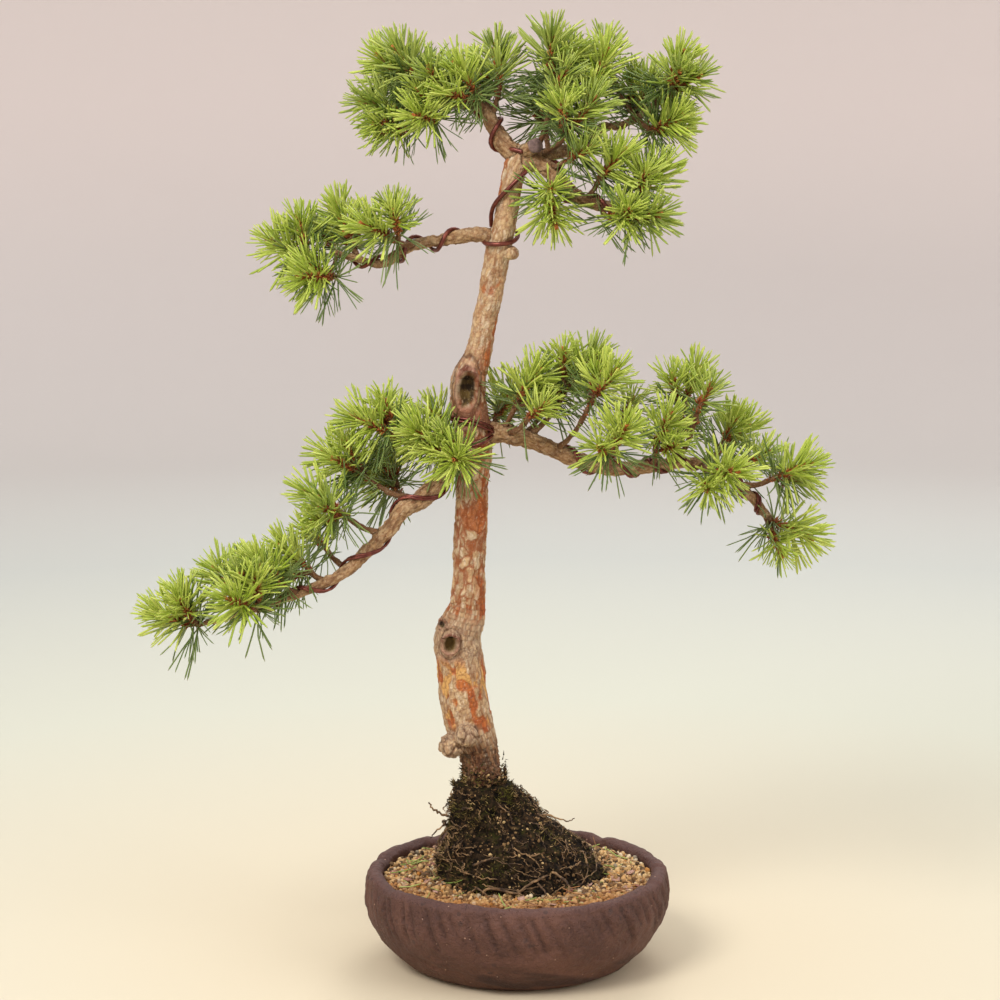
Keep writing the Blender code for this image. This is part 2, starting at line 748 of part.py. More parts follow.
hollow_tools = []
for number, (height, offset, half) in enumerate(HOLLOWS):
    bm = bmesh.new()
    bmesh.ops.create_icosphere(
        bm, subdivisions=2, radius=tree_girth,
        matrix=Matrix.Translation(on_trunk(height, offset)) @ Matrix.Diagonal((*half, 1.0)),
    )
    hollow_tools.append(place(f"hollow_{number}", mesh_from(bm, "hollow"), None, cutter=True))
boolean(tree, "DIFFERENCE", hollow_tools, "dead_wood_hollows")


# ---- The paste that seals the sawn stub ----

stub_end = stub_line[-1]
stub_way = (stub_line[-1] - stub_line[-2]).normalized()
bm = bmesh.new()
bmesh.ops.create_cone(
    bm, cap_ends=True, segments=14, radius1=PASTE_RADIUS, radius2=0.6 * PASTE_RADIUS,
    depth=PASTE_THICKNESS,
    matrix=Matrix.Translation(stub_end + (CLEARANCE + PASTE_THICKNESS / 2) * stub_way)
    @ stub_way.to_track_quat("Z", "Y").to_matrix().to_4x4(),
)
place("cut_paste_cap", mesh_from(bm, "cut_paste_cap"), CUT_PASTE)
obstacles.append((stub_end, stub_end + PASTE_THICKNESS * stub_way, PASTE_RADIUS))


# ---- The needle tufts: a core round each shoot, drawn out to points ----

NEIGHBOUR_GAP = 0.0004
SPIKE_SAMPLES = 10


def room_towards(middle, way, near, others):
    """How far a spike can reach: inside the tuft's own cell and clear of wood and wire."""
    reach = NEEDLE_REACH
    for other in others:
        apart = other - middle
        facing = way.dot(apart.normalized())
        if facing > 0:
            reach = min(reach, (apart.length / 2 - NEIGHBOUR_GAP) / facing)
    half_width = 0.6 * TUFT_CORE
    while reach > TUFT_CORE:
        clear = True
        for step in range(SPIKE_SAMPLES + 1):
            share = step / SPIKE_SAMPLES
            point = middle + (TUFT_CORE + share * (reach - TUFT_CORE)) * way
            need = half_width * (1 - share) + 0.0012
            if any(distance_to(segment, point) < need for segment in near):
                clear = False
                break
        if clear:
            break
        reach *= 0.9
    return max(reach, TUFT_CORE)


middles = [middle for _, middle in tufts]
for name, middle in tufts:
    others = [other for other in middles if 0 < (other - middle).length < 2 * NEEDLE_REACH]
    near = [segment for segment in obstacles if distance_to(segment, middle) < NEEDLE_REACH]
    bm = bmesh.new()
    bmesh.ops.create_icosphere(
        bm, subdivisions=1, radius=TUFT_CORE, matrix=Matrix.Translation(middle)
    )
    tips = bmesh.ops.poke(bm, faces=bm.faces)["verts"]
    for tip in tips:
        way = (tip.co - middle).normalized()
        tip.co = middle + room_towards(middle, way, near, others) * way
    place(name, mesh_from(bm, name), NEEDLES)
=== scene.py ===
import itertools
import math

import bmesh
import bpy
import numpy as np
from mathutils import Matrix, Vector


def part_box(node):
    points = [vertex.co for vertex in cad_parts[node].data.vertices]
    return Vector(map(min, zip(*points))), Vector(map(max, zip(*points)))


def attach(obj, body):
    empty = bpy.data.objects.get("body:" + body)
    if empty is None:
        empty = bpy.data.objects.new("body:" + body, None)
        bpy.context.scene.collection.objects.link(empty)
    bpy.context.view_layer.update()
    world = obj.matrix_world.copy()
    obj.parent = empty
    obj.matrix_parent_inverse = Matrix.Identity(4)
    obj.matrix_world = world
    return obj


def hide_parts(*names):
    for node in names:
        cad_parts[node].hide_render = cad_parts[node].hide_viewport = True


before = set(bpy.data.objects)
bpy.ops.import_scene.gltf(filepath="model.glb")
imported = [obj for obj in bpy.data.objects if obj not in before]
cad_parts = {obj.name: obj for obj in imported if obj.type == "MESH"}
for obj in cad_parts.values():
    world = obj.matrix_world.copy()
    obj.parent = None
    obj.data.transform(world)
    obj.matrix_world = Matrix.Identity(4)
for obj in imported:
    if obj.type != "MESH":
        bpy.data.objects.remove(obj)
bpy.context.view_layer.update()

# ---- The bowl ----
# Thick, unglazed, dark red-brown stoneware. The potter turned it, pressed slanting grooves into
# the upper half with a stick, scraped the foot with a rib, and left the lip uneven.

BOWL_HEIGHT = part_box("pot")[1].z
BOWL_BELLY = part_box("pot")[1].x
BOWL_FOOT = 0.062
BOWL_WALL = 0.010
BOWL_FLOOR = 0.009
LIP_INSET = 0.003
LIP_ROUND = 0.45 * BOWL_WALL
LIP_LEVEL = BOWL_HEIGHT - LIP_ROUND
DRAIN_PLACE = 0.032
TURN_STEPS = 480


class Shade:
    """A socket in a material's node tree. Sums written with it add Math nodes."""

    def __init__(self, tree, socket=None):
        self.tree = tree
        self.socket = socket

    def node(self, kind, settings=None, sockets=None, output=0):
        """A new node: its settings come first, then the values or links of its sockets."""
        made = self.tree.nodes.new(kind)
        for name, value in (settings or {}).items():
            if name == "stops":
                ramp = made.color_ramp
                while len(ramp.elements) < len(value):
                    ramp.elements.new(0.5)
                for element, (position, colour) in zip(ramp.elements, value):
                    element.position = position
                    element.color = colour
            else:
                setattr(made, name, value)
        for name, value in (sockets or {}).items():
            if isinstance(value, Shade):
                self.tree.links.new(value.socket, made.inputs[name])
            else:
                made.inputs[name].default_value = value
        return Shade(self.tree, made.outputs[output])

    def sum(self, operation, *values):
        settings = {"operation": operation}
        return self.node("ShaderNodeMath", settings, dict(enumerate(values)))

    def __add__(self, other):
        return self.sum("ADD", self, other)

    def __sub__(self, other):
        return self.sum("SUBTRACT", self, other)

    def __mul__(self, other):
        return self.sum("MULTIPLY", self, other)

    def __rsub__(self, other):
        return self.sum("SUBTRACT", other, self)

    __radd__ = __add__
    __rmul__ = __mul__

    def between(self, low, high):
        """0 below low, 1 above high, and smooth between them."""
        settings = {"interpolation_type": "SMOOTHSTEP"}
        return self.node("ShaderNodeMapRange", settings, {0: self, 1: low, 2: high})

    def mix(self, under, over):
        """The colour over, laid on the colour under as far as this mask says."""
        settings = {"data_type": "RGBA", "clamp_factor": True}
        return self.node("ShaderNodeMix", settings, {0: self, 6: under, 7: over}, 2)

    def stretched(self, scale):
        settings = {"operation": "MULTIPLY"}
        return self.node("ShaderNodeVectorMath", settings, {0: self, 1: scale})

    def noise(self, size, detail=3.0):
        """Noise with lumps of this size in metres, where this socket holds the place."""
        sockets = {"Vector": self, "Scale": 1 / size, "Detail": detail}
        return self.node("ShaderNodeTexNoise", None, sockets)

    def cells(self, size):
        """How far this socket's place is from the nearest of many spots this far apart."""
        return self.node("ShaderNodeTexVoronoi", None, {"Vector": self, "Scale": 1 / size})

    def ramp(self, *stops):
        """The colour that the stops give for this socket's value."""
        return self.node("ShaderNodeValToRGB", {"stops": stops}, {0: self})

    def upward(self):
        """The height of this socket's place."""
        return self.node("ShaderNodeSeparateXYZ", None, {0: self}, 2)

    def attribute(self, name, output=2):
        return self.node("ShaderNodeAttribute", {"attribute_name": name}, None, output)

    def bump(self, strength, distance, under=None):
        """A Bump node whose height is this socket, over the normal that is given."""
        sockets = {"Height": self, "Strength": strength, "Distance": distance}
        if under is not None:
            sockets["Normal"] = under
        return self.node("ShaderNodeBump", None, sockets)


def srgb(red, green, blue):
    """The linear colour of a screen colour from 0 to 255."""
    parts = [value / 255 for value in (red, green, blue)]
    return (*[((part + 0.055) / 1.055) ** 2.4 for part in parts], 1.0)


def finish_named(name):
    """A new material and the object's own place as a Shade to start from."""
    made = bpy.data.materials.new(name)
    made.use_nodes = True
    start = Shade(made.node_tree)
    return made, start.node("ShaderNodeTexCoord", None, None, 3)


def settle(made, links, constants):
    """Sets the material's shader: linked sockets, then its plain numbers."""
    shader = made.node_tree.nodes["Principled BSDF"]
    for name, shade in links.items():
        made.node_tree.links.new(shade.socket, shader.inputs[name])
    for name, value in constants.items():
        shader.inputs[name].default_value = value
    return made


def jumble(cells, seed):
    """A number from 0 to 1 that stays the same for the same whole-numbered cell."""
    mixed = (cells.astype(np.int64) * np.array([73856093, 19349663, 83492791])).sum(1)
    mixed = mixed + seed * 40503
    for shift, factor in ((15, 2246822519), (13, 3266489917), (16, 668265263)):
        mixed = ((mixed ^ (mixed >> shift)) * factor) & 0xFFFFFFFF
    return (mixed ^ (mixed >> 14)) / 0xFFFFFFFF


def lumps(points, size, seed, octaves=3):
    """Smooth noise from about -1 to 1 at each point, with lumps of this size."""
    total = np.zeros(len(points))
    for octave in range(octaves):
        scaled = points / size * 2**octave + 31.7 * seed
        base = np.floor(scaled)
        part = scaled - base
        part = part * part * (3 - 2 * part)
        for corner in itertools.product((0, 1), repeat=3):
            share = np.prod(np.where(corner, part, 1 - part), axis=1)
            total += share * (2 * jumble(base + corner, seed + octave) - 1) / 2**octave
    return total


def plates(points, size, seed):
    """How far each point is from the crack round its plate, in plate sizes, and the
    plate's own number."""
    scaled = points / size + 17.3 * seed
    base = np.floor(scaled)
    first = np.full(len(points), 9.0)
    second = first.copy()
    own = np.zeros(len(points))
    for corner in itertools.product((-1, 0, 1), repeat=3):
        cell = base + corner
        spot = cell + np.stack([jumble(cell, seed + axis) for axis in range(3)], axis=1)
        far = np.linalg.norm(spot - scaled, axis=1)
        nearer = far < first
        second = np.where(nearer, first, np.minimum(second, far))
        own = np.where(nearer, jumble(cell, seed + 5), own)
        first = np.minimum(first, far)
    return second - first, own


def ease(values, low, high):
    """0 below low, 1 above high, and smooth between them."""
    share = np.clip((values - low) / (high - low), 0, 1)
    return share * share * (3 - 2 * share)


def points_of(mesh, what="co"):
    found = np.zeros(3 * len(mesh.vertices))
    mesh.vertices.foreach_get(what, found)
    return found.reshape(-1, 3)


def move_points(mesh, points):
    mesh.vertices.foreach_set("co", points.ravel())
    mesh.update()


def mark(mesh, name, values):
    """Keeps a number for each vertex of the mesh, for its material to read."""
    layer = mesh.attributes.new(name, "FLOAT", "POINT")
    layer.data.foreach_set("value", np.asarray(values, dtype=np.float32))


def show(name, mesh, finish, slot, *nodes):
    """A finished piece: it stands for these CAD nodes and belongs to the one body."""
    mesh.materials.clear()
    mesh.materials.append(finish)
    mesh.shade_smooth()
    made = bpy.data.objects.new(name, mesh)
    bpy.context.scene.collection.objects.link(made)
    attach(made, "root")
    if nodes:
        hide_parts(*nodes)
    return made


def mesh_from(bm, name):
    mesh = bpy.data.meshes.new(name)
    bm.to_mesh(mesh)
    bm.free()
    return mesh


def bowl_radius(height):
    """The outer radius: it swells fast from the foot, then stands up and draws in."""
    share = min(max(height / (0.78 * BOWL_HEIGHT), 0.0), 1.0)
    swell = math.sin(0.5 * math.pi * share) ** 0.62
    draw_in = max(height / BOWL_HEIGHT - 0.78, 0.0) / 0.22
    return BOWL_FOOT + (BOWL_BELLY - BOWL_FOOT) * swell - LIP_INSET * draw_in**2


def turned(name, outline, steps):
    """An outline of (radius, height) turned round the upright axis."""
    bm = bmesh.new()
    rows = [bm.verts.new((radius, 0, height)) for radius, height in outline]
    edges = [bm.edges.new(pair) for pair in zip(rows, rows[1:])]
    bmesh.ops.spin(
        bm, geom=rows + edges, axis=(0, 0, 1), angle=2 * math.pi, steps=steps,
        use_merge=True,
    )
    bmesh.ops.remove_doubles(bm, verts=bm.verts, dist=0.00001)
    bmesh.ops.recalc_face_normals(bm, faces=bm.faces)
    return mesh_from(bm, name)


lip_middle = bowl_radius(LIP_LEVEL) - BOWL_WALL / 2
bowl_outline = [(BOWL_FOOT * step / 8, 0.0) for step in range(8)]
for step in range(53):
    height = LIP_LEVEL * (step / 52) ** 1.35
    bowl_outline.append((bowl_radius(height), height))
for step in range(1, 16):
    turn = math.pi * step / 16
    bowl_outline.append(
        (lip_middle + 0.5 * BOWL_WALL * math.cos(turn), LIP_LEVEL + LIP_ROUND * math.sin(turn))
    )
for step in range(13):
    height = LIP_LEVEL + (BOWL_FLOOR - LIP_LEVEL) * step / 12
    bowl_outline.append((bowl_radius(height) - BOWL_WALL, height))
bowl_outline += [(0.04, BOWL_FLOOR), (0.02, BOWL_FLOOR), (0.0, BOWL_FLOOR)]
bowl_mesh = turned("bowl", bowl_outline, TURN_STEPS)

chance = np.random.default_rng(4)
place = points_of(bowl_mesh)
radius = np.hypot(place[:, 0], place[:, 1])
bearing = np.arctan2(place[:, 1], place[:, 0])
level = place[:, 2] / BOWL_HEIGHT
around = np.stack([np.cos(bearing), np.sin(bearing), 0 * bearing], axis=1)
outer = ease(radius, BOWL_FOOT - 0.004, BOWL_FOOT + 0.002)
outside = outer * (radius > np.interp(
    place[:, 2], [0, 0.6 * BOWL_HEIGHT, BOWL_HEIGHT],
    [BOWL_FOOT - BOWL_WALL / 2, BOWL_BELLY - BOWL_WALL / 2, lip_middle - 0.004],
))
groove = np.zeros(len(place))
GROOVES = 62
for number in range(GROOVES):
    middle = 2 * math.pi * (number + chance.uniform(-0.28, 0.28)) / GROOVES
    slant = 0.10 + 0.55 * (0.5 + 0.5 * math.sin(middle + 1.9)) + chance.uniform(-0.06, 0.06)
    drop = (BOWL_HEIGHT - place[:, 2]) / BOWL_BELLY
    across = np.angle(np.exp(1j * (bearing - middle - slant * drop))) * BOWL_BELLY
    width = chance.uniform(0.0011, 0.0019)
    low = chance.uniform(0.38, 0.62)
    length = ease(level, low, low + 0.16) * (1 - 0.85 * ease(level, 0.86, 0.97))
    cut = np.exp(-((across / width) ** 2)) - 0.35 * np.exp(-(((across - 2.6 * width) / width) ** 2))
    groove += chance.uniform(0.45, 1.15) * length * cut
groove *= outside
swirl = np.stack(
    [around[:, 0] * 2 + 0 * level, around[:, 1] * 2, level * 7 + bearing * 1.8], axis=1
)
scrape = lumps(swirl, 1.0, 3, 3) * ease(0.55 - level, 0, 0.3) * ease(level, 0.02, 0.1)
side_lumps = lumps(place, 0.022, 11, 3)
outward = -0.0014 * groove + outside * (0.0014 * scrape + 0.0012 * side_lumps)
outward += 0.0016 * lumps(around, 0.9, 5, 2) * ease(level, 0.1, 0.6)
outward += 0.00042 * lumps(place, 0.0045, 8, 3) * ease(level, 0.05, 0.2)
place[:, :2] += outward[:, None] * around[:, :2]
lip_lift = 0.0016 * lumps(around, 0.42, 9, 3) + 0.0007 * lumps(around, 0.07, 12, 2)
for where, depth, half in ((0.02, 0.0030, 0.035), (-0.42, 0.0016, 0.05), (2.9, 0.0022, 0.05),
                           (2.2, 0.0018, 0.06), (-2.62, 0.0014, 0.05), (0.9, 0.002, 0.05)):
    away = np.angle(np.exp(1j * (bearing - where)))
    lip_lift -= depth * np.exp(-((away / half) ** 2))
place[:, 2] += lip_lift * ease(level, 0.72, 1.0)
move_points(bowl_mesh, place)
mark(bowl_mesh, "groove", np.clip(groove, 0, 1))
mark(bowl_mesh, "scrape", scrape)

STONEWARE, spot = finish_named("stoneware")
patch = spot.noise(0.03, 4.0)
fine = spot.noise(0.0022, 5.0)
colour = patch.between(0.35, 0.68).mix(srgb(72, 46, 40), srgb(96, 64, 54))
colour = (spot.noise(0.009, 3.0).between(0.55, 0.75) * 0.6).mix(colour, srgb(62, 40, 38))
height = spot.upward()
colour = (height.between(0.9 * BOWL_HEIGHT, BOWL_HEIGHT) * 0.5).mix(colour, srgb(84, 58, 56))
colour = ((1 - height.between(0.0, 0.45 * BOWL_HEIGHT)) * 0.4).mix(colour, srgb(94, 62, 42))
# Painted shade: the colour is darkened inside the pressed grooves, where shade falls in them.
colour = (spot.attribute("groove") * 0.75).mix(colour, srgb(48, 28, 26))
dark_spots = 1 - spot.cells(0.008).between(0.16, 0.26)
colour = (dark_spots * spot.noise(0.02).between(0.5, 0.6) * 0.7).mix(colour, srgb(52, 38, 38))
grog = 1 - spot.cells(0.0034).between(0.10, 0.15)
colour = (grog * spot.noise(0.004).between(0.58, 0.62)).mix(colour, srgb(186, 150, 128))
colour = ((fine - 0.5) * 0.5 + 0.12).mix(colour, srgb(128, 92, 76))
low_down = 1 - height.between(0.2 * BOWL_HEIGHT, 0.5 * BOWL_HEIGHT)
scraped = spot.attribute("scrape").between(0.1, 0.6) * low_down
colour = (scraped * 0.8).mix(colour, srgb(50, 32, 28))
pits = spot.cells(0.0016).between(0.1, 0.4)
relief = (fine * 0.6 + spot.noise(0.006, 3.0)).bump(1.0, 0.0016, pits.bump(0.6, 0.0008))
settle(
    STONEWARE,
    {"Base Color": colour, "Roughness": fine * 0.18 + 0.62, "Normal": relief},
    {"Specular IOR Level": 0.35},
)


def cut_out(target, cutters):
    """Cuts closed meshes out of the target's mesh, for good."""
    body = bpy.data.objects.new("cutting", target)
    bpy.context.scene.collection.objects.link(body)
    tools = []
    for cutter in cutters:
        tool = bpy.data.objects.new("cutter", cutter)
        bpy.context.scene.collection.objects.link(tool)
        modifier = body.modifiers.new("cut", "BOOLEAN")
        modifier.object = tool
        tools.append(tool)
    graph = bpy.context.evaluated_depsgraph_get()
    made = bpy.data.meshes.new_from_object(body.evaluated_get(graph))
    for used in [body, *tools]:
        bpy.data.objects.remove(used)
    return made


def drill(x, y, radius, low, high):
    bm = bmesh.new()
    bmesh.ops.create_cone(
        bm, cap_ends=True, segments=32, radius1=radius, radius2=radius, depth=high - low,
        matrix=Matrix.Translation((x, y, (low + high) / 2)),
    )
    return mesh_from(bm, "drill")


TIE_HALF_SPAN = 0.018
TIE_SETBACK = 0.026
holes = []
for side in (-1, 1):
    holes.append(drill(side * DRAIN_PLACE, 0, 0.008, -0.01, 0.02))
    holes.append(drill(side * DRAIN_PLACE, 0, 0.0125, -0.01, 0.003))
    holes.append(drill(side * TIE_HALF_SPAN, TIE_SETBACK, 0.002, -0.01, 0.02))
bowl_mesh = cut_out(bowl_mesh, holes)
show("turned_bowl", bowl_mesh, STONEWARE, "stoneware", "pot")


# ---- Drain screens, their clips and the tie-down wire ----
# A square of black plastic netting lies over each drain hole, held by a clip of bent aluminium
# wire whose feet spread under the floor. A loop of the same wire ties the root ball down.

def dress(finish, *nodes):
    for name in nodes:
        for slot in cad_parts[name].material_slots:
            slot.material = finish


SCREEN_PLASTIC, spot = finish_named("screen_plastic")
grime = spot.noise(0.004, 4.0)
settle(
    SCREEN_PLASTIC,
    {
        "Base Color": grime.between(0.45, 0.7).mix(srgb(30, 30, 31), srgb(74, 62, 50)),
        "Roughness": grime * 0.3 + 0.35,
        "Normal": grime.bump(0.2, 0.0002),
    },
    {},
)
PLAIN_WIRE, spot = finish_named("plain_wire")
haze = spot.noise(0.003, 4.0)
settle(
    PLAIN_WIRE,
    {
        "Base Color": haze.between(0.4, 0.7).mix(srgb(190, 190, 188), srgb(146, 140, 132)),
        "Roughness": haze * 0.3 + 0.25,
        "Normal": haze.bump(0.15, 0.0001),
    },
    {"Metallic": 1.0},
)
dress(SCREEN_PLASTIC, "drain_screen_left", "drain_screen_right")
dress(PLAIN_WIRE, "screen_clip_left", "screen_clip_right", "tie_down_wire")


# ---- The soil ----
# Fired-clay grit, sieved to 2 to 4 mm and filled in to just below the lip. It is tan and gold
# where it is dry, and orange where the last watering still darkens it.

SOIL_LEVEL = BOWL_HEIGHT - 0.0055
SOIL_CROWN = 0.0015
SOIL_RADIUS = bowl_radius(SOIL_LEVEL) - BOWL_WALL - 0.001
MOUND_RADIUS = 0.052
MOUND_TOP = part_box("root_mound")[1].z
MOUND_HEIGHT = MOUND_TOP - SOIL_LEVEL
FOOT_PLACE = Vector((-0.021, 0.010, 0))
MOUND_SHARES = [0.05, 0.32, 0.52, 0.68, 0.88, 1.0]
MOUND_SPREADS = [1.0, 0.78, 0.50, 0.32, 0.13, 0.0]
COLLAR_RADIUS = 0.018


def triangles(bm, name):
    bmesh.ops.triangulate(bm, faces=bm.faces)
    bmesh.ops.recalc_face_normals(bm, faces=bm.faces)
    return mesh_from(bm, name)


def pose(where, way, spin, size):
    """Turns a shape's Z along way, spins it about that, scales it and puts it in place."""
    turn = Vector(way).to_track_quat("Z", "Y").to_matrix() @ Matrix.Rotation(spin, 3, "Z")
    return np.array(turn @ Matrix.Diagonal(size)), np.array(where)


def strew(name, shapes, kinds, poses, marks):
    """One mesh of many copies: each is one of the shapes, in its pose, with its own marks.
    The mark called along runs from 0 to 1 up each copy."""
    ready = []
    for shape in shapes:
        corners = points_of(shape)
        faces = np.array([face.vertices[:] for face in shape.polygons])
        low, high = corners[:, 2].min(), corners[:, 2].max()
        ready.append((corners, faces, (corners[:, 2] - low) / (high - low)))
    points, faces, along, counts = [], [], [], []
    total = 0
    for kind, (turn, where) in zip(kinds, poses):
        corners, tris, rise = ready[kind]
        points.append(corners @ turn.T + where)
        faces.append(tris + total)
        along.append(rise)
        counts.append(len(corners))
        total += len(corners)
    mesh = bpy.data.meshes.new(name)
    mesh.from_pydata(np.concatenate(points), [], np.concatenate(faces))
    mark(mesh, "along", np.concatenate(along))
    for label, values in marks.items():
        mark(mesh, label, np.repeat(np.asarray(values, dtype=float), counts))
    return mesh


def soil_surface(x, y):
    """How high the soil lies at these places."""
    flat = np.stack([x, y, 0 * x], axis=1)
    dome = SOIL_CROWN * (1 - (x * x + y * y) / SOIL_RADIUS**2)
    return SOIL_LEVEL - 0.001 + dome + 0.0009 * lumps(flat, 0.018, 21, 2)


bed_outline = [(SOIL_RADIUS * step / 20, SOIL_LEVEL) for step in range(21)]
for step in range(1, 9):
    height = SOIL_LEVEL + (BOWL_FLOOR + 0.001 - SOIL_LEVEL) * step / 8
    bed_outline.append((bowl_radius(height) - BOWL_WALL - 0.001, height))
bed_outline.append((0.0, BOWL_FLOOR + 0.001))
bed_mesh = turned("bed", bed_outline, 96)
place = points_of(bed_mesh)
top = place[:, 2] > SOIL_LEVEL - 0.0001
place[top, 2] = soil_surface(place[top, 0], place[top, 1])
move_points(bed_mesh, place)

grain_shapes = []
for number in range(7):
    bm = bmesh.new()
    bmesh.ops.create_uvsphere(bm, u_segments=7, v_segments=5, radius=1.0)
    grain = triangles(bm, "grain")
    corners = points_of(grain)
    corners *= 1 + 0.26 * lumps(corners, 0.9, 40 + number, 2)[:, None]
    move_points(grain, corners)
    grain_shapes.append(grain)

chance = np.random.default_rng(11)
kinds, poses, tones, wetness = [], [], [], []
GRAIN_PITCH = 0.0024
steps = int(SOIL_RADIUS / GRAIN_PITCH) + 1
spots = []
for layer, keep in ((0, 1.0), (1, 0.30)):
    for row in range(-steps, steps + 1):
        for column in range(-steps, steps + 1):
            x = (column + 0.5 * (row % 2)) * GRAIN_PITCH + chance.normal(0, 0.0006)
            y = 0.87 * row * GRAIN_PITCH + chance.normal(0, 0.0006)
            reach = math.hypot(x, y)
            inside = math.hypot(x - 0.002, y) < MOUND_RADIUS - 0.006
            if reach < SOIL_RADIUS - 0.0002 and not inside and chance.random() < keep:
                spots.append((x, y, layer))
spots = np.array(spots)
ground = soil_surface(spots[:, 0], spots[:, 1])
for (x, y, layer), height in zip(spots, ground):
    size = chance.uniform(0.0009, 0.0017) if chance.random() < 0.9 else chance.uniform(0.0017, 0.0022)
    size *= 1 - 0.15 * layer
    kinds.append(int(chance.integers(len(grain_shapes))))
    squash = size * chance.uniform(0.75, 1.15, 3)
    where = (x, y, height + 0.2 * size + 0.0014 * layer)
    poses.append(pose(where, chance.normal(0, 1, 3), 0.0, squash))
    tones.append(chance.random())
    edge = math.hypot(x, y) / SOIL_RADIUS
    wetness.append(max(0.0, (edge - 0.62) / 0.38) * max(0.0, -y / SOIL_RADIUS) ** 0.7)
grit_mesh = strew("grit", grain_shapes, kinds, poses, {"tone": tones, "wet": wetness})


def stop(position, *colour):
    return position, srgb(*colour)


GRIT, spot = finish_named("gritty_soil")
tone = spot.attribute("tone")
grain = tone.ramp(
    stop(0.0, 52, 42, 32), stop(0.12, 92, 74, 54), stop(0.24, 138, 106, 68),
    stop(0.40, 190, 152, 100), stop(0.58, 205, 170, 118), stop(0.74, 222, 190, 138),
    stop(0.86, 186, 128, 62), stop(0.94, 150, 140, 122), stop(1.0, 232, 212, 176),
)
speckle = spot.noise(0.0009, 4.0)
grain = (speckle.between(0.45, 0.75) * 0.45).mix(grain, srgb(120, 88, 54))
grain = (spot.attribute("wet") * 0.9).mix(grain, srgb(150, 88, 30))
relief = (speckle + spot.cells(0.0006) * 0.4).bump(0.6, 0.0003)
settle(
    GRIT,
    {"Base Color": grain, "Roughness": 0.92 - spot.attribute("wet") * 0.35, "Normal": relief},
    {"Specular IOR Level": 0.3},
)
SOIL_BED, spot = finish_named("soil_bed")
dust = spot.noise(0.002, 5.0)
settle(
    SOIL_BED,
    {
        "Base Color": dust.between(0.35, 0.7).mix(srgb(60, 42, 26), srgb(128, 92, 52)),
        "Normal": dust.bump(0.8, 0.0008),
    },
    {"Roughness": 0.95},
)
show("bed_of_grit", bed_mesh, SOIL_BED, "gritty_soil", "soil")
show("loose_grit", grit_mesh, GRIT, "gritty_soil", "soil")


# ---- What has fallen on the soil ----
# Needles that dropped from the tree, some still green, and pinkish flakes off its bark. They
# lie where they fell.

def needle_shape(radius, bend):
    """A needle one unit long that curves sideways and ends in a short point."""
    bm = bmesh.new()
    bmesh.ops.create_circle(bm, segments=4, radius=0.75 * radius, cap_ends=True)
    face = bm.faces[:]
    before = 0.0
    for share in (0.12, 0.5, 0.92):
        grown = bmesh.ops.extrude_face_region(bm, geom=face)["geom"]
        if before:
            bmesh.ops.delete(bm, geom=face, context="FACES_ONLY")
        corners = [item for item in grown if isinstance(item, bmesh.types.BMVert)]
        face = [item for item in grown if isinstance(item, bmesh.types.BMFace)]
        lean = bend * (share**2 - before**2)
        bmesh.ops.translate(bm, verts=corners, vec=(lean, 0, share - before))
        if not before:
            bmesh.ops.scale(bm, verts=corners, vec=(1.33, 1.33, 1.0))
        before = share
    tip = bmesh.ops.poke(bm, faces=face)["verts"][0]
    tip.co = (bend, 0, 1.0)
    return triangles(bm, "needle")


YOUNG_NEEDLES = [needle_shape(0.027, bend) for bend in (0.03, 0.10, 0.20)]
OLD_NEEDLES = [needle_shape(0.016, bend) for bend in (0.06, 0.16, 0.26)]


FALLEN_COUNT = 150
FLAKE_COUNT = 46


def flat_spot(low, high):
    """A place on the open soil, between these shares of the way out to the bowl."""
    turn = chance.uniform(0, 2 * math.pi)
    reach = SOIL_RADIUS * chance.uniform(low, high)
    x, y = reach * math.cos(turn), reach * math.sin(turn)
    return x, y, soil_surface(np.array([x]), np.array([y]))[0]


kinds, poses, tones, ages = [], [], [], []
for number in range(FALLEN_COUNT):
    x, y, ground = flat_spot(0.56, 0.97)
    height = ground + chance.uniform(0.0016, 0.0034)
    turn = chance.uniform(0, 2 * math.pi)
    way = Vector((math.cos(turn), math.sin(turn), chance.normal(0, 0.10)))
    length = chance.uniform(0.008, 0.017)
    where = Vector((x, y, height)) - 0.5 * length * way
    if (where + length * way).xy.length > SOIL_RADIUS + 0.001:
        way.negate()
    kinds.append(3 + int(chance.integers(3)))
    poses.append(pose(where, way, chance.uniform(0, 6.3), (1.6 * length, 1.6 * length, length)))
    tones.append(chance.random())
    ages.append(0.25 if chance.random() < 0.45 else 1.0)
litter_mesh = strew(
    "litter", YOUNG_NEEDLES + OLD_NEEDLES, kinds, poses, {"tone": tones, "age": ages}
)
FALLEN, spot = finish_named("fallen_needles")
withered = spot.attribute("age")
fresh = spot.attribute("tone").mix(srgb(124, 148, 62), srgb(168, 184, 96))
brown = spot.attribute("tone").mix(srgb(128, 84, 46), srgb(176, 122, 70))
settle(
    FALLEN,
    {
        "Base Color": withered.between(0.3, 0.9).mix(fresh, brown),
        "Normal": spot.noise(0.0008).bump(0.2, 0.0001),
    },
    {"Roughness": 0.6},
)
show("fallen_needles", litter_mesh, FALLEN, "needles")

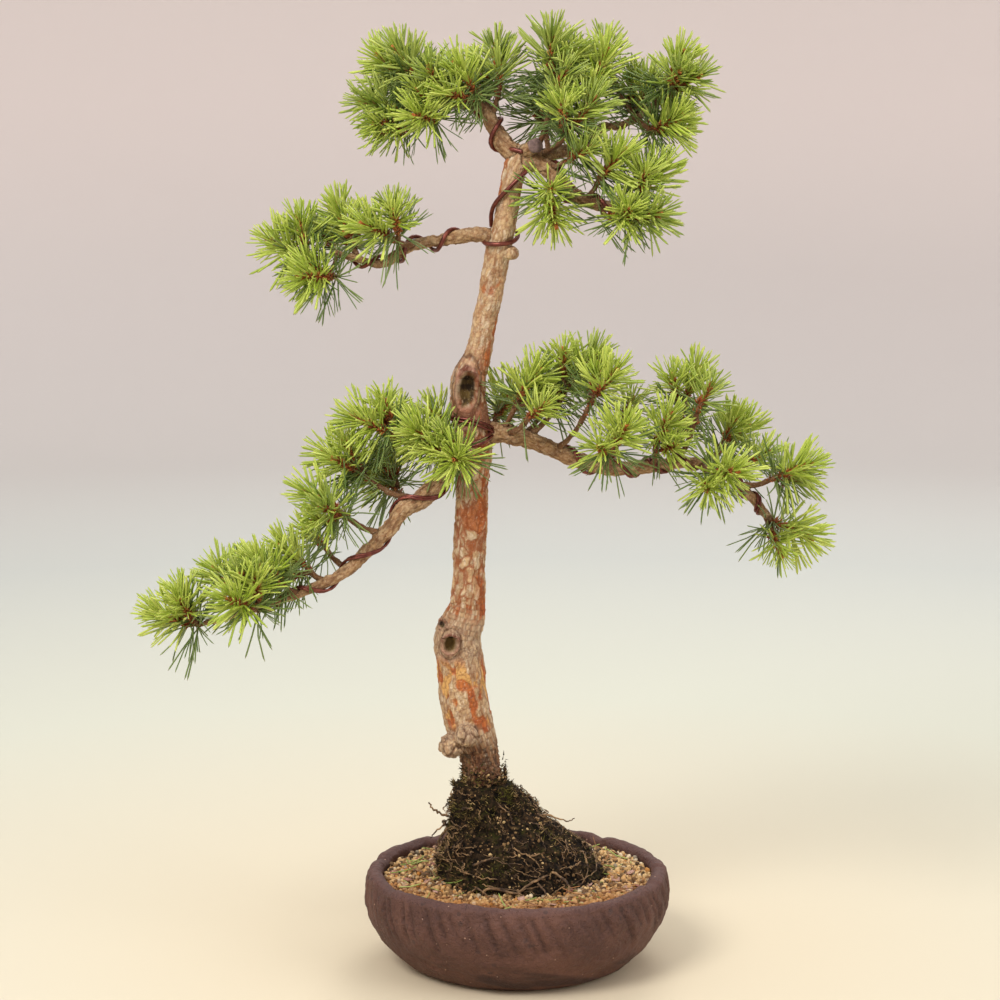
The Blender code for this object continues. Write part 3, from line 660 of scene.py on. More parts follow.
flake_shapes = []
for number in range(4):
    bm = bmesh.new()
    bmesh.ops.create_grid(bm, x_segments=3, y_segments=2, size=1.0)
    bmesh.ops.solidify(bm, geom=bm.faces[:], thickness=0.16)
    flake = triangles(bm, "flake")
    corners = points_of(flake)
    corners[:, 2] += 0.35 * lumps(corners, 1.4, 60 + number, 2)
    corners[:, :2] += 0.3 * np.stack([lumps(corners, 0.8, 70 + number), lumps(corners, 0.8, 80)], 1)
    move_points(flake, corners)
    flake_shapes.append(flake)
kinds, poses, tones = [], [], []
for number in range(FLAKE_COUNT):
    x, y, ground = flat_spot(0.5, 0.95)
    height = ground + chance.uniform(0.0016, 0.0028)
    size = chance.uniform(0.0011, 0.0026)
    tilt = (chance.normal(0, 0.3), chance.normal(0, 0.3), 1.0)
    kinds.append(int(chance.integers(4)))
    poses.append(pose((x, y, height), tilt, chance.uniform(0, 6.3), (1.2 * size, size, size)))
    tones.append(chance.random())
flake_mesh = strew("flakes", flake_shapes, kinds, poses, {"tone": tones})
FLAKES, spot = finish_named("bark_flakes")
flake = spot.attribute("tone").mix(srgb(150, 92, 70), srgb(206, 168, 150))
settle(
    FLAKES,
    {
        "Base Color": (spot.noise(0.001) * 0.6).mix(flake, srgb(112, 66, 46)),
        "Normal": spot.noise(0.0008).bump(0.5, 0.0002),
    },
    {"Roughness": 0.85},
)
show("bark_flakes", flake_mesh, FLAKES, "bark")


# ---- The mound of root muck ----
# The root ball stands proud of the soil, in near-black muck bound by fine roots. Moss and
# crumbs stick to it, and pale rootlets creep over it and hang out of its sides.

def mound_radius(share):
    spread = np.interp(share, MOUND_SHARES, MOUND_SPREADS)
    return COLLAR_RADIUS + (MOUND_RADIUS - COLLAR_RADIUS) * spread


def mound_middle(share):
    spread = np.interp(share, MOUND_SHARES, MOUND_SPREADS)
    return FOOT_PLACE.x * (1 - spread) + 0.002 * spread, FOOT_PLACE.y * (1 - spread)


def on_mound(bearing, share, lift=0.0):
    """A point on the mound at this bearing in degrees and share of its height."""
    x, y = mound_middle(share)
    reach = mound_radius(share) + lift
    turn = math.radians(bearing)
    height = SOIL_LEVEL + share * MOUND_HEIGHT
    return Vector((x + reach * math.cos(turn), y + reach * math.sin(turn), height))


def clods_at(points):
    """How far the clods stand out at each point."""
    return 0.0024 * lumps(points, 0.016, 31, 2) + 0.0016 * lumps(points, 0.0062, 32, 2)


mound_outline = [(0.0, 1.02), (0.008, 1.02), (0.013, 1.01)]
mound_outline += [(mound_radius(1 - step / 92), 1 - step / 92) for step in range(1, 101)]
mound_outline += [(0.94 * MOUND_RADIUS, -0.25), (0.9 * MOUND_RADIUS, -0.33), (0.0, -0.33)]
mound_mesh = turned(
    "mound",
    [(radius, SOIL_LEVEL + share * MOUND_HEIGHT) for radius, share in mound_outline],
    300,
)
place = points_of(mound_mesh)
bearing = np.arctan2(place[:, 1], place[:, 0])
share = (place[:, 2] - SOIL_LEVEL) / MOUND_HEIGHT
around = np.stack([np.cos(bearing), np.sin(bearing), 0.35 + 0 * bearing], axis=1)
x, y = mound_middle(share)
place[:, 0] += x
place[:, 1] += y
rugged = ease(share, -0.12, 0.02) * (1 - 0.5 * ease(share, 0.9, 1.0))
clods = clods_at(place)
crumb = lumps(place, 0.0026, 33, 2)
place += ((clods + 0.0008 * crumb) * rugged)[:, None] * around
move_points(mound_mesh, place)
mark(mound_mesh, "crumb", crumb)

MUCK, spot = finish_named("root_muck")
clod = spot.noise(0.0035, 6.0)
colour = clod.between(0.38, 0.66).mix(srgb(14, 11, 8), srgb(50, 38, 26))
moss = spot.noise(0.012, 4.0).between(0.50, 0.62) * spot.noise(0.002).between(0.4, 0.6)
colour = (moss * 0.5).mix(colour, srgb(60, 58, 24))
colour = (spot.attribute("crumb").between(0.5, 1.3) * 0.7).mix(colour, srgb(104, 82, 54))
relief = (clod + spot.cells(0.0012) * 0.5).bump(0.9, 0.0012)
settle(
    MUCK,
    {"Base Color": colour, "Normal": relief},
    {"Roughness": 0.95, "Specular IOR Level": 0.1},
)
show("muck_mound", mound_mesh, MUCK, "root_muck", "root_mound")

CRUMB_COUNT = 7600
chance = np.random.default_rng(23)
bm = bmesh.new()
bmesh.ops.create_cone(
    bm, segments=3, radius1=0.13, radius2=0.0, depth=1.0, matrix=Matrix.Translation((0, 0, 0.5))
)
moss_leaf = triangles(bm, "moss_leaf")
kinds, poses, tones, ages = [], [], [], []
for number in range(CRUMB_COUNT):
    bearing, share = chance.uniform(-180, 180), chance.uniform(0.0, 1.0) ** 0.9
    where = on_mound(bearing, share, -0.0006)
    spot_on = np.array([where])
    green = float(lumps(spot_on, 0.013, 35, 2)[0])
    out = Vector((math.cos(math.radians(bearing)), math.sin(math.radians(bearing)), 0.5))
    where = where + float(clods_at(spot_on)[0]) * out
    if number % 10 == 0:  # some climb the foot of the trunk
        climb = 0.006 * abs(chance.normal())
        where = FOOT_PLACE + Vector((0.0135 * out.x, 0.0135 * out.y, MOUND_TOP + climb))
    leafy = green > 0.08
    way = out + Vector(chance.normal(0, 0.55 if leafy else 0.9, 3))
    length = chance.uniform(0.0016, 0.0044) if leafy else chance.uniform(0.001, 0.0028)
    kinds.append(0 if leafy or chance.random() < 0.45 else 1 + int(chance.integers(7)))
    size = [length] * 3 if kinds[-1] == 0 else 0.36 * length * chance.uniform(0.7, 1.3, 3)
    poses.append(pose(where, way, chance.uniform(0, 6.3), size))
    tones.append(chance.random())
    ages.append(float(np.clip(green * 1.5 - 0.1, 0, 1)))
moss_mesh = strew("moss", [moss_leaf, *grain_shapes], kinds, poses, {"tone": tones, "moss": ages})
MOSS, spot = finish_named("moss_and_crumbs")
tone = spot.attribute("tone")
crumbs = tone.ramp(
    stop(0.0, 16, 12, 8), stop(0.40, 44, 32, 21), stop(0.72, 92, 68, 44),
    stop(0.90, 146, 116, 78), stop(1.0, 200, 170, 120),
)
leaves = tone.mix(srgb(34, 34, 14), srgb(100, 94, 40))
settle(
    MOSS,
    {"Base Color": spot.attribute("moss").mix(crumbs, leaves)},
    {"Roughness": 0.9, "Specular IOR Level": 0.15},
)
show("moss_and_crumbs", moss_mesh, MOSS, "root_muck")


def rounded(values, per_span):
    """Smooth points through the given ones, per_span to each stretch."""
    points = [Vector(value) for value in values]
    padded = [2 * points[0] - points[1], *points, 2 * points[-1] - points[-2]]
    found = []
    for a, b, c, d in zip(padded, padded[1:], padded[2:], padded[3:]):
        for step in range(per_span):
            t = step / per_span
            found.append(
                0.5 * (2 * b + (c - a) * t + (2 * a - 5 * b + 4 * c - d) * t**2
                       + (3 * b - a - 3 * c + d) * t**3)
            )
    return found + [points[-1]]


def tubes(name, strands, detail):
    """One mesh of round strands, each a list of (point, radius). Detail 1 gives six sides."""
    unit = 0.001
    curve = bpy.data.curves.new(name, "CURVE")
    curve.dimensions = "3D"
    curve.bevel_depth = unit
    curve.bevel_resolution = detail
    curve.use_fill_caps = True
    for strand in strands:
        spline = curve.splines.new("POLY")
        spline.points.add(len(strand) - 1)
        for point, (where, radius) in zip(spline.points, strand):
            point.co = (*where, 1.0)
            point.radius = radius / unit
    source = bpy.data.objects.new(name, curve)
    bpy.context.scene.collection.objects.link(source)
    graph = bpy.context.evaluated_depsgraph_get()
    mesh = bpy.data.meshes.new_from_object(source.evaluated_get(graph))
    bpy.data.objects.remove(source)
    bm = bmesh.new()
    bm.from_mesh(mesh)
    bmesh.ops.remove_doubles(bm, verts=bm.verts, dist=0.000004)
    bmesh.ops.recalc_face_normals(bm, faces=bm.faces)
    bm.to_mesh(mesh)
    bm.free()
    return mesh


def creeping(stops, thick, thin, lift=0.0006):
    """A root that creeps over the mound through (bearing, share, extra lift) stops."""
    path = rounded([on_mound(b, s, lift + extra) for b, s, extra in stops], 5)
    last = len(path) - 1
    strand = []
    for number, where in enumerate(path):
        kink = Vector(chance.normal(0, 0.00035, 3))
        radius = thick + (thin - thick) * number / last
        strand.append((where + kink, radius * chance.uniform(0.85, 1.15)))
    return strand


pale_roots = [
    creeping([(-118, 0.02, 0), (-108, 0.11, 0.002), (-94, 0.07, 0.002), (-80, 0.17, 0.003),
              (-64, 0.22, 0.001)], 0.0011, 0.0006),
    creeping([(-62, 0.24, 0.001), (-56, 0.13, 0.004), (-60, 0.01, 0.004)], 0.0009, 0.0006),
    creeping([(-92, 0.10, 0.002), (-88, 0.02, 0.004), (-86, -0.03, 0.006)], 0.0008, 0.0004),
    creeping([(-76, 0.16, 0.002), (-74, 0.06, 0.004), (-79, 0.0, 0.005)], 0.0007, 0.0004),
    creeping([(-122, 0.30, 0.001), (-108, 0.37, 0.003), (-97, 0.40, 0.002)], 0.0008, 0.0004),
    creeping([(-124, 0.04, 0.002), (-118, 0.10, 0.004), (-112, 0.03, 0.003)], 0.0007, 0.0004),
    creeping([(-70, 0.02, 0.006), (-54, 0.03, 0.008), (-40, 0.02, 0.010), (-30, 0.0, 0.012)],
             0.0012, 0.0007),
    creeping([(-172, 0.66, 0), (-176, 0.68, 0.006), (-170, 0.74, 0.011), (-168, 0.83, 0.016)],
             0.0010, 0.0004),
    creeping([(-172, 0.58, 0), (-170, 0.52, 0.006), (-174, 0.42, 0.009)], 0.0007, 0.0003),
    creeping([(-20, 0.70, 0), (-14, 0.68, 0.006), (-16, 0.64, 0.014), (-12, 0.66, 0.020)],
             0.0007, 0.0003),
    creeping([(120, 0.12, 0), (104, 0.22, 0.003), (90, 0.12, 0.002), (72, 0.04, 0.003)],
             0.0013, 0.0006),
    creeping([(30, 0.42, 0), (24, 0.24, 0.003), (34, 0.08, 0.003)], 0.0010, 0.0005),
    creeping([(160, 0.5, 0), (172, 0.3, 0.003), (168, 0.1, 0.003)], 0.0010, 0.0005),
]
RUNS_OVER = 190
for number in range(RUNS_OVER):
    bearing, share = chance.uniform(-180, 180), chance.uniform(0.02, 0.95)
    drift, fall = chance.normal(0, 5), chance.uniform(-0.05, 0.02)
    bow = chance.uniform(0, 0.004) if chance.random() < 0.4 else 0.001
    count = int(chance.integers(4, 8))
    stops = []
    for step in range(count):
        bulge = bow * math.sin(math.pi * step / (count - 1))
        stops.append((bearing, max(share, 0.0), bulge))
        bearing += drift + chance.normal(0, 3)
        share = min(share + fall + chance.normal(0, 0.015), 0.98)
    thick = chance.uniform(0.00018, 0.00045)
    pale_roots.append(creeping(stops, thick, 0.5 * thick, 0.0014))
root_mesh = tubes("rootlets", pale_roots, 1)
ROOTLETS, spot = finish_named("rootlets")
stain = spot.noise(0.006, 4.0)
colour = stain.between(0.35, 0.7).mix(srgb(58, 40, 26), srgb(170, 134, 92))
colour = (spot.noise(0.002).between(0.5, 0.7) * 0.6).mix(colour, srgb(58, 42, 28))
settle(
    ROOTLETS,
    {"Base Color": colour, "Normal": spot.noise(0.0012, 4.0).bump(0.6, 0.0004)},
    {"Roughness": 0.8},
)
show("rootlets", root_mesh, ROOTLETS, "root_muck")


# ---- The tree's wood ----
# One growth of pine: surface roots, trunk, limbs and twigs. The old trunk has plated bark with
# brown cracks, orange under-bark shows where plates fell, and two dead knots are left open.

TRUNK = [
    (-21, 9, -20, 13.0), (-21, 10, -6, 13.0), (-23, 11, 10, 12.8), (-25, 11, 24, 13.5),
    (-31, 10, 40, 15.8), (-34, 9, 58, 16.3), (-36, 7, 78, 15.5), (-38, 6, 93, 15.5),
    (-34, 5, 107, 13.0), (-31, 4, 120, 11.0), (-30, 2, 144, 10.5), (-29, 0, 170, 10.5),
    (-28, 0, 195, 10.5), (-27, 0, 220, 11.5), (-31, 0, 245, 12.0), (-30, 0, 260, 11.0),
    (-25, 0, 273, 8.6), (-21, 0, 290, 8.0), (-17, -1, 310, 7.8), (-13, -4, 332, 8.2),
    (-10, -5, 346, 7.8), (-7, -6, 360, 7.0), (-4, -8, 378, 7.0), (-1, -8, 389, 7.6),
    (3, -8, 397, 6.5),
]
LIMBS = {
    "left": [
        (-32, 0, 218, 8.0), (-42, -6, 205, 6.8), (-50, -11, 194, 6.2), (-60, -15, 185, 6.0),
        (-70, -18, 180, 5.3), (-79, -21, 168, 4.8), (-91, -24, 156, 4.3), (-100, -26, 147, 4.0),
        (-113, -28, 138, 3.7), (-130, -30, 131, 3.2), (-145, -31, 126, 2.8),
        (-160, -32, 120, 2.5), (-176, -33, 115, 2.2), (-192, -34, 112, 1.8),
    ],
    "right": [
        (-24, 0, 225, 8.0), (-8, 2, 224, 6.4), (5, 3, 221, 5.9), (17, 4, 216, 5.6),
        (30, 4, 210, 5.3), (45, 4, 205, 5.0), (60, 4, 202, 4.7), (76, 2, 203, 4.3),
        (91, 0, 205, 4.0), (106, -2, 207, 3.7), (120, -3, 204, 3.5), (131, -4, 197, 3.1),
        (142, -5, 188, 2.9), (150, -5, 179, 2.8), (156, -4, 170, 2.7), (160, -3, 159, 2.6),
    ],
    "upper_left": [
        (-12, -4, 344, 6.0), (-23, -3, 347, 4.7), (-34, -2, 346, 4.3), (-47, 0, 343, 3.8),
        (-57, 2, 342, 3.5), (-67, 3, 339, 3.7), (-75, 4, 334, 3.6), (-83, 5, 329, 3.3),
        (-93, 6, 330, 2.8), (-103, 6, 333, 2.4), (-113, 6, 336, 2.0),
    ],
    "apex_left": [
        (2, -8, 394, 6.2), (-6, -8, 399, 5.7), (-11, -6, 405, 5.4), (-16, -3, 414, 4.8),
        (-19, 0, 421, 4.6), (-25, 2, 426, 3.9), (-34, 3, 426, 3.4), (-45, 4, 427, 2.7),
        (-54, 4, 429, 2.1),
    ],
    "apex_back": [
        (2, -8, 394, 6.0), (16, 2, 395, 4.5), (27, 10, 397, 4.2), (38, 16, 399, 4.0),
        (46, 20, 405, 3.6), (51, 20, 411, 3.1), (63, 20, 413, 2.8), (76, 19, 419, 2.4),
        (86, 17, 427, 2.0),
    ],
    "apex_right": [
        (2, -9, 393, 6.0), (16, -14, 388, 5.4), (25, -16, 380, 5.1), (34, -17, 371, 4.7),
        (46, -17, 366, 3.9), (58, -17, 364, 3.3), (68, -17, 365, 2.7),
    ],
}
CUT_STUB = [(3, -9, 396, 5.0), (10, -21, 401, 4.2)]
SHOOTS = {
    "left": [
        (-210, -34, 114), (-178, -12, 133), (-166, -62, 129), (-153, -42, 146),
        (-138, -20, 151), (-118, -24, 185), (-109, 8, 206), (-87, 26, 192), (-89, -6, 230),
        (-57, -18, 225), (-36, -34, 213),
    ],
    "right": [
        (-6, 20, 243), (6, -8, 255), (28, 20, 252), (40, 0, 264), (52, -26, 257),
        (60, -46, 227), (88, -22, 229), (107, 8, 253), (136, 24, 219), (124, -38, 205),
        (169, -14, 203), (168, -8, 166),
    ],
    "upper_left": [
        (-106, 12, 352), (-85, -18, 350), (-142, 8, 338), (-122, -14, 322),
    ],
    "apex_left": [
        (-68, 4, 450), (-45, 18, 438), (-56, -16, 418), (-32, -12, 441), (-12, -2, 446),
        (-82, 2, 424), (-78, 12, 448),
    ],
    "apex_back": [
        (20, 0, 455), (18, 22, 428), (50, 12, 446), (38, -22, 419), (78, 36, 431),
        (96, 10, 448), (90, 2, 414),
    ],
    "apex_right": [
        (80, -14, 380), (76, -32, 359), (56, -26, 390), (20, -28, 363),
    ],
}
SIDE_SHOOTS = {  # smaller shoots that share a neighbour's twig
    "left": [(-128, 2, 160), (-75, 20, 230), (-50, 8, 234)],
    "right": [(13, -24, 242), (71, 36, 238), (116, -12, 251), (109, 34, 228), (151, 8, 209)],
    "upper_left": [(-122, 32, 349)],
    "apex_left": [(-52, -16, 443), (-22, 14, 433), (-68, 26, 431), (-78, -6, 409)],
    "apex_back": [(26, -14, 441), (53, 28, 462), (43, -8, 432), (100, 4, 440)],
    "apex_right": [(62, -34, 359), (40, -32, 398), (74, -6, 359)],
}
BURLS = [(27, (-15.5, -12), 8.0), (35, (-2.6, -17.4), 7.0), (336, (8.1, -6.7), 4.6)]
ROOT_BEARINGS = [-150, -112, -72, -38, 8, 62, 128]
TWIG_LEAD = 0.012
SISTERS = {
    "left": 2, "right": 1, "upper_left": 2, "apex_left": 1, "apex_back": 2, "apex_right": 1,
}
GOLDEN_TURN = math.pi * (3 - math.sqrt(5))
NEEDLE_BALL = 0.009  # how far short of a tuft's middle its twig turns into the green shoot


def grown(drawn):
    """A drawn point, in millimetres from the mound's top, in metres."""
    return Vector((drawn[0] / 1000, drawn[1] / 1000, MOUND_TOP + drawn[2] / 1000))


def limb_path(drawn, per_span=4):
    """Smooth (point, radius) steps along a drawn limb."""
    points = rounded([grown(step) for step in drawn], per_span)
    marks = np.arange(len(points)) / per_span
    radii = np.interp(marks, range(len(drawn)), [step[3] / 1000 for step in drawn])
    return [(point, float(radius)) for point, radius in zip(points, radii)]


def on_trunk(height, offset):
    """A point off the trunk's middle at a drawn height."""
    heights = [step[2] for step in TRUNK]
    x = np.interp(height, heights, [step[0] for step in TRUNK]) + offset[0]
    y = np.interp(height, heights, [step[1] for step in TRUNK]) + offset[1]
    return grown((x, y, height))


def square_to(way, turn):
    """A direction square to way, turned this far about it."""
    side = way.orthogonal().normalized()
    return math.cos(turn) * side + math.sin(turn) * way.cross(side)


def heading_at(path, index):
    before, after = path[max(index - 1, 0)][0], path[min(index + 1, len(path) - 1)][0]
    return (after - before).normalized()


paths = {"trunk": limb_path(TRUNK)}
for name, drawn in LIMBS.items():
    paths[name] = limb_path(drawn)
twigs, shoots = [], []
for name, path in paths.items():
    if name == "trunk":
        continue
    reach = np.cumsum([0] + [(b[0] - a[0]).length for a, b in zip(path, path[1:])])
    whole = [(middle, False) for middle in SHOOTS[name]]
    whole += [(middle, True) for middle in SIDE_SHOOTS[name]]
    for number, (drawn, small) in enumerate(whole):
        middle = grown(drawn)
        gaps = [(step[0] - middle).length for step in path]
        nearest = int(np.argmin(gaps))
        leave = int(np.argmin(abs(reach - max(reach[nearest] - TWIG_LEAD, 0.004))))
        if nearest == len(path) - 1:
            leave = nearest - 1
        start, thick = path[leave]
        away = (middle - start).normalized()
        way = (0.9 * away + 0.35 * heading_at(path, nearest) + Vector((0, 0, 0.40))).normalized()
        foot = middle - NEEDLE_BALL * way
        bend = start.lerp(foot, 0.5) - Vector((0, 0, 0.10)) * (foot - start).length
        twig = rounded([start, bend, foot, foot + 0.003 * way], 4)
        widths = np.linspace(min(0.0021, 0.75 * thick), 0.00125, len(twig))
        twigs.append(list(zip(twig, widths)))
        apart = [(grown(other) - middle).length for other in SHOOTS[name]]
        node = f"needle_tuft_{name}_{int(np.argmin(apart)) + 1:02d}"
        shoots.append((node, foot, way, small, name, twig))
        for sister in range(0 if small else SISTERS[name]):
            out = square_to(way, GOLDEN_TURN * len(shoots) + math.pi * sister)
            heading = (0.7 * way + 0.7 * out + Vector((0, 0, 0.15))).normalized()
            branch = [foot - 0.007 * way, foot - 0.004 * way + 0.004 * out, foot + 0.008 * out]
            branch = rounded([*branch, branch[-1] + 0.003 * heading], 3)
            twigs.append(list(zip(branch, np.linspace(0.0013, 0.0011, len(branch)))))
            shoots.append((node, foot + 0.008 * out, heading, True, name, branch))

roots = []
for bearing in ROOT_BEARINGS:
    sway = 9 * math.sin(bearing)
    over = [
        on_mound(bearing + sway * bend, share, -0.0085)
        for share, bend in ((0.74, 0), (0.50, 0.5), (0.28, 1.0), (0.05, 0.6))
    ]
    out = (over[-1] - Vector((FOOT_PLACE.x, FOOT_PLACE.y, over[-1].z))).normalized()
    line = rounded([grown(TRUNK[1]), *over, over[-1] + 0.010 * out - Vector((0, 0, 0.009))], 4)
    roots.append(list(zip(line, np.linspace(0.0030, 0.0011, len(line)))))

wood_strands = [*paths.values(), limb_path(CUT_STUB), *twigs, *roots]
wood_raw = tubes("wood_raw", wood_strands, 4)
bm = bmesh.new()
bm.from_mesh(wood_raw)
for height, offset, size in BURLS:
    bmesh.ops.create_icosphere(
        bm, subdivisions=4, radius=size / 1000,
        matrix=Matrix.Translation(on_trunk(height, offset)),
    )
bm.to_mesh(wood_raw)
bm.free()
block = bpy.data.objects.new("wood_block", wood_raw)
bpy.context.scene.collection.objects.link(block)
remesh = block.modifiers.new("grow_together", "REMESH")
remesh.mode = "VOXEL"
remesh.voxel_size = 0.00082
blur = block.modifiers.new("blur", "SMOOTH")
blur.factor = 0.5
blur.iterations = 3
graph = bpy.context.evaluated_depsgraph_get()
wood = bpy.data.meshes.new_from_object(block.evaluated_get(graph))
bpy.data.objects.remove(block)

# Each point of the bark belongs to the strand whose surface is nearest. It is known by its
# place across that strand and along it, so plates and cracks run with the grain.
place = points_of(wood)
normal = np.zeros(3 * len(wood.vertices))
wood.vertex_normals.foreach_get("vector", normal)
normal = normal.reshape(-1, 3)
best = np.full(len(place), 9.0)
grain = np.zeros_like(place)
girth = np.zeros(len(place))
kind = np.zeros(len(place))
for number, strand in enumerate(wood_strands):
    side = Vector((0, -1, 0)) if number else Vector((1, 0, 0))
    travelled = 0.0
    for (a, thick_a), (b, thick_b) in zip(strand, strand[1:]):
        step = b - a
        length = step.length
        if length < 1e-7:
            continue
        along = step / length
        side = (side - side.dot(along) * along).normalized()
        other = along.cross(side)
        offset = place - np.array(a)
        run = np.clip(offset @ np.array(along), 0, length)
        radial = offset - run[:, None] * np.array(along)
        thick = thick_a + (thick_b - thick_a) * run / length
        gap = np.linalg.norm(radial, axis=1) - thick
        nearer = gap < best
        best = np.where(nearer, gap, best)
        local = np.stack(
            [radial @ np.array(side), radial @ np.array(other), travelled + run + 0.7 * number], 1
        )
        grain[nearer] = local[nearer]
        girth = np.where(nearer, thick, girth)
        kind = np.where(nearer, 0 if number == 0 else 1 if number < 8 else 2, kind)
        travelled += length

height = (place[:, 2] - MOUND_TOP) * 1000
trunk = kind == 0
plated = trunk * ease(height, 100, 116) * (1 - 0.6 * ease(height, 258, 275))
crusty = trunk * (1 - ease(height, 22, 34))
shed = trunk * ease(height, 34, 42) * (1 - ease(height, 76, 88))
callus = trunk * ease(height, 76, 86) * (1 - ease(height, 104, 114))
long_grain = grain * np.array([1.0, 1.0, 0.42])
wander = np.stack([lumps(grain, 0.006, 50 + axis, 2) for axis in range(3)], axis=1)
gap, plate_tone = plates(long_grain + 0.0017 * wander, 0.0054, 3)
small_gap, small_tone = plates(grain * [1, 1, 0.7] + 0.0007 * wander, 0.0030, 9)
cross_gap, _ = plates(grain * [0.45, 0.45, 1.5] + 0.0006 * wander, 0.0032, 14)
wide = 0.20 + 0.09 * lumps(grain, 0.012, 68, 2)
crack = (1 - ease(gap, 0.01, np.maximum(wide, 0.08))) * plated
fine_crack = (1 - ease(small_gap, 0.02, 0.20)) * (1 - 0.65 * plated)
ridges = (1 - ease(cross_gap, 0.05, 0.3)) * crusty
big = lumps(grain, 0.011, 61, 3)
fine = lumps(grain, 0.0022, 62, 3)
ooze = lumps(grain * [1, 1, 0.5], 0.010, 63, 3)
normal_right = ease(normal[:, 0], 0.35, 0.8)
bared = ease(ooze, -0.20, -0.08) * shed + ease(ooze, 0.5, 0.62) * trunk * (1 - callus) * 0.8
bared = np.clip(bared + 0.7 * plated * normal_right * ease(fine + ooze, 0.2, 0.5), 0, 1)
honey = bared * shed * ease(lumps(long_grain, 0.0085, 67, 2), 0.10, 0.2)
knobby = (kind > 0) * lumps(grain, 0.0034, 69, 2)
lift = 0.00055 * big * np.minimum(girth / 0.006, 1.2) + 0.00022 * fine
lift += plated * (0.00034 * (plate_tone - 0.5) - 0.00075 * crack)
lift -= 0.00040 * fine_crack * np.clip(girth / 0.008, 0.25, 1) * (1 - 0.6 * shed)
lift -= 0.0010 * ridges
lift += 0.00035 * lumps(grain, 0.0014, 64, 2) * crusty
lift += (0.0004 * honey - 0.0007 * bared) * shed + 0.0007 * knobby * np.minimum(girth / 0.003, 1)
lift += 0.0007 * callus * lumps(grain, 0.005, 65, 2)
place = place + lift[:, None] * normal

# The two dead knots: hollows pushed in from the front, with a rolled lip of healed bark.
deadwood = np.zeros(len(place))
healed = np.zeros(len(place))
creases = np.zeros(len(place))
KNOTS = [  # middle across and up in mm, half-widths, depth, lip height, how far it leans
    (-31.5, 252.5, 4.6, 11.0, 6.5, 4.2, 0.06), (-42.0, 93.0, 3.4, 5.0, 6.0, 4.6, 0.1),
    (-47.0, 104.5, 1.8, 1.9, 2.2, 1.2, 0.0),
]
for across, up, half_width, half_height, depth, lip, lean in KNOTS:
    x = place[:, 0] * 1000 - across - lean * (height - up)
    away = np.hypot(x / half_width, (height - up) / half_height)
    away = away + 0.12 * lumps(place, 0.004, 71, 2)
    front = trunk * (normal[:, 1] < 0.35) * (away < 2.7)
    dish = front * np.sqrt(np.clip(1 - away**2, 0, 1))
    rim = front * np.exp(-(((away - 1.22) / 0.24) ** 2))
    rim *= 1 + 0.7 * ease(height - up, 0, half_height)
    swirl = front * np.sin(9 * away) * ease(away, 1.1, 1.3) * (1 - ease(away, 2.0, 2.6))
    place[:, 1] += 0.001 * (depth * dish - 0.6 * lip * rim - 0.6 * swirl)
    outward = np.sign(x) * np.minimum(abs(x), half_width) / half_width
    place[:, 0] += 0.001 * 0.35 * lip * rim * outward
    deadwood = np.maximum(deadwood, front * (1 - ease(away, 0.82, 1.02)))
    healed = np.maximum(healed, np.maximum(0.8 * rim, 0.7 * swirl))
    creases = np.maximum(creases, -swirl)
pasted = trunk * (normal[:, 1] < 0.5) * ease(height, 226, 230) * (1 - ease(height, 240, 244))
pasted *= ease(place[:, 0] * 1000, -42, -40) * (1 - deadwood)
burl_skin = np.zeros(len(place))
for burl_height, offset, size in BURLS[:2]:
    away = np.linalg.norm(place - np.array(on_trunk(burl_height, offset)), axis=1) * 1000
    burl_skin = np.maximum(burl_skin, 1 - ease(away, size + 0.6, size + 2.2))
folds = abs(lumps(place, 0.0044, 66, 2))
place = place + (0.0013 * burl_skin * (ease(folds, 0.0, 0.3) - 0.7))[:, None] * normal
move_points(wood, place)
smoothed = 1 - pasted
for label, values in {
    "crack": np.maximum(crack, 0.8 * ridges) * (1 - burl_skin) * smoothed,
    "fine_crack": fine_crack * (1 - deadwood) * smoothed, "plate": plate_tone,
    "bared": bared * (1 - burl_skin) * (1 - deadwood), "callus": np.maximum(callus, burl_skin),
    "deadwood": deadwood, "healed": healed * (1 - deadwood), "pasted": pasted,
    "crusty": crusty * (1 - burl_skin), "limb": kind, "flat": small_tone, "honey": honey,
    "fold": np.maximum(burl_skin * (1 - ease(folds, 0.05, 0.22)), creases), "knobby": np.clip(knobby, 0, 1),
}.items():
    mark(wood, label, values)
layer = wood.attributes.new("grain", "FLOAT_VECTOR", "POINT")
layer.data.foreach_set("vector", grain.astype(np.float32).ravel())

BARK, spot = finish_named("bark")
grain_spot = spot.attribute("grain", 1)
soft = grain_spot.noise(0.006, 4.0)
speck = grain_spot.noise(0.0013, 5.0)
flaky = grain_spot.stretched((1, 1, 0.35)).noise(0.0022, 4.0)
colour = spot.attribute("plate").mix(srgb(170, 136, 100), srgb(216, 182, 138))
colour = (spot.attribute("flat").between(0.55, 0.9) * 0.5).mix(colour, srgb(204, 184, 154))
colour = (soft.between(0.5, 0.68) * 0.55).mix(colour, srgb(160, 118, 84))
colour = ((1 - flaky.between(0.38, 0.47)) * 0.55).mix(colour, srgb(222, 204, 178))
colour = (flaky.between(0.52, 0.66) * 0.5).mix(colour, srgb(150, 104, 74))
limb = flaky.between(0.4, 0.62).mix(srgb(172, 132, 88), srgb(104, 72, 44))
limb = (spot.attribute("knobby") * 0.7).mix(limb, srgb(186, 160, 124))
colour = (spot.attribute("limb").between(0.1, 0.9) * 0.75).mix(colour, limb)
colour = (spot.attribute("limb").between(1.1, 1.9) * 0.7).mix(colour, srgb(96, 62, 36))
weathered = spot.attribute("callus") * speck.between(0.3, 0.6)
colour = (weathered * 0.85).mix(colour, soft.mix(srgb(128, 102, 82), srgb(202, 176, 146)))
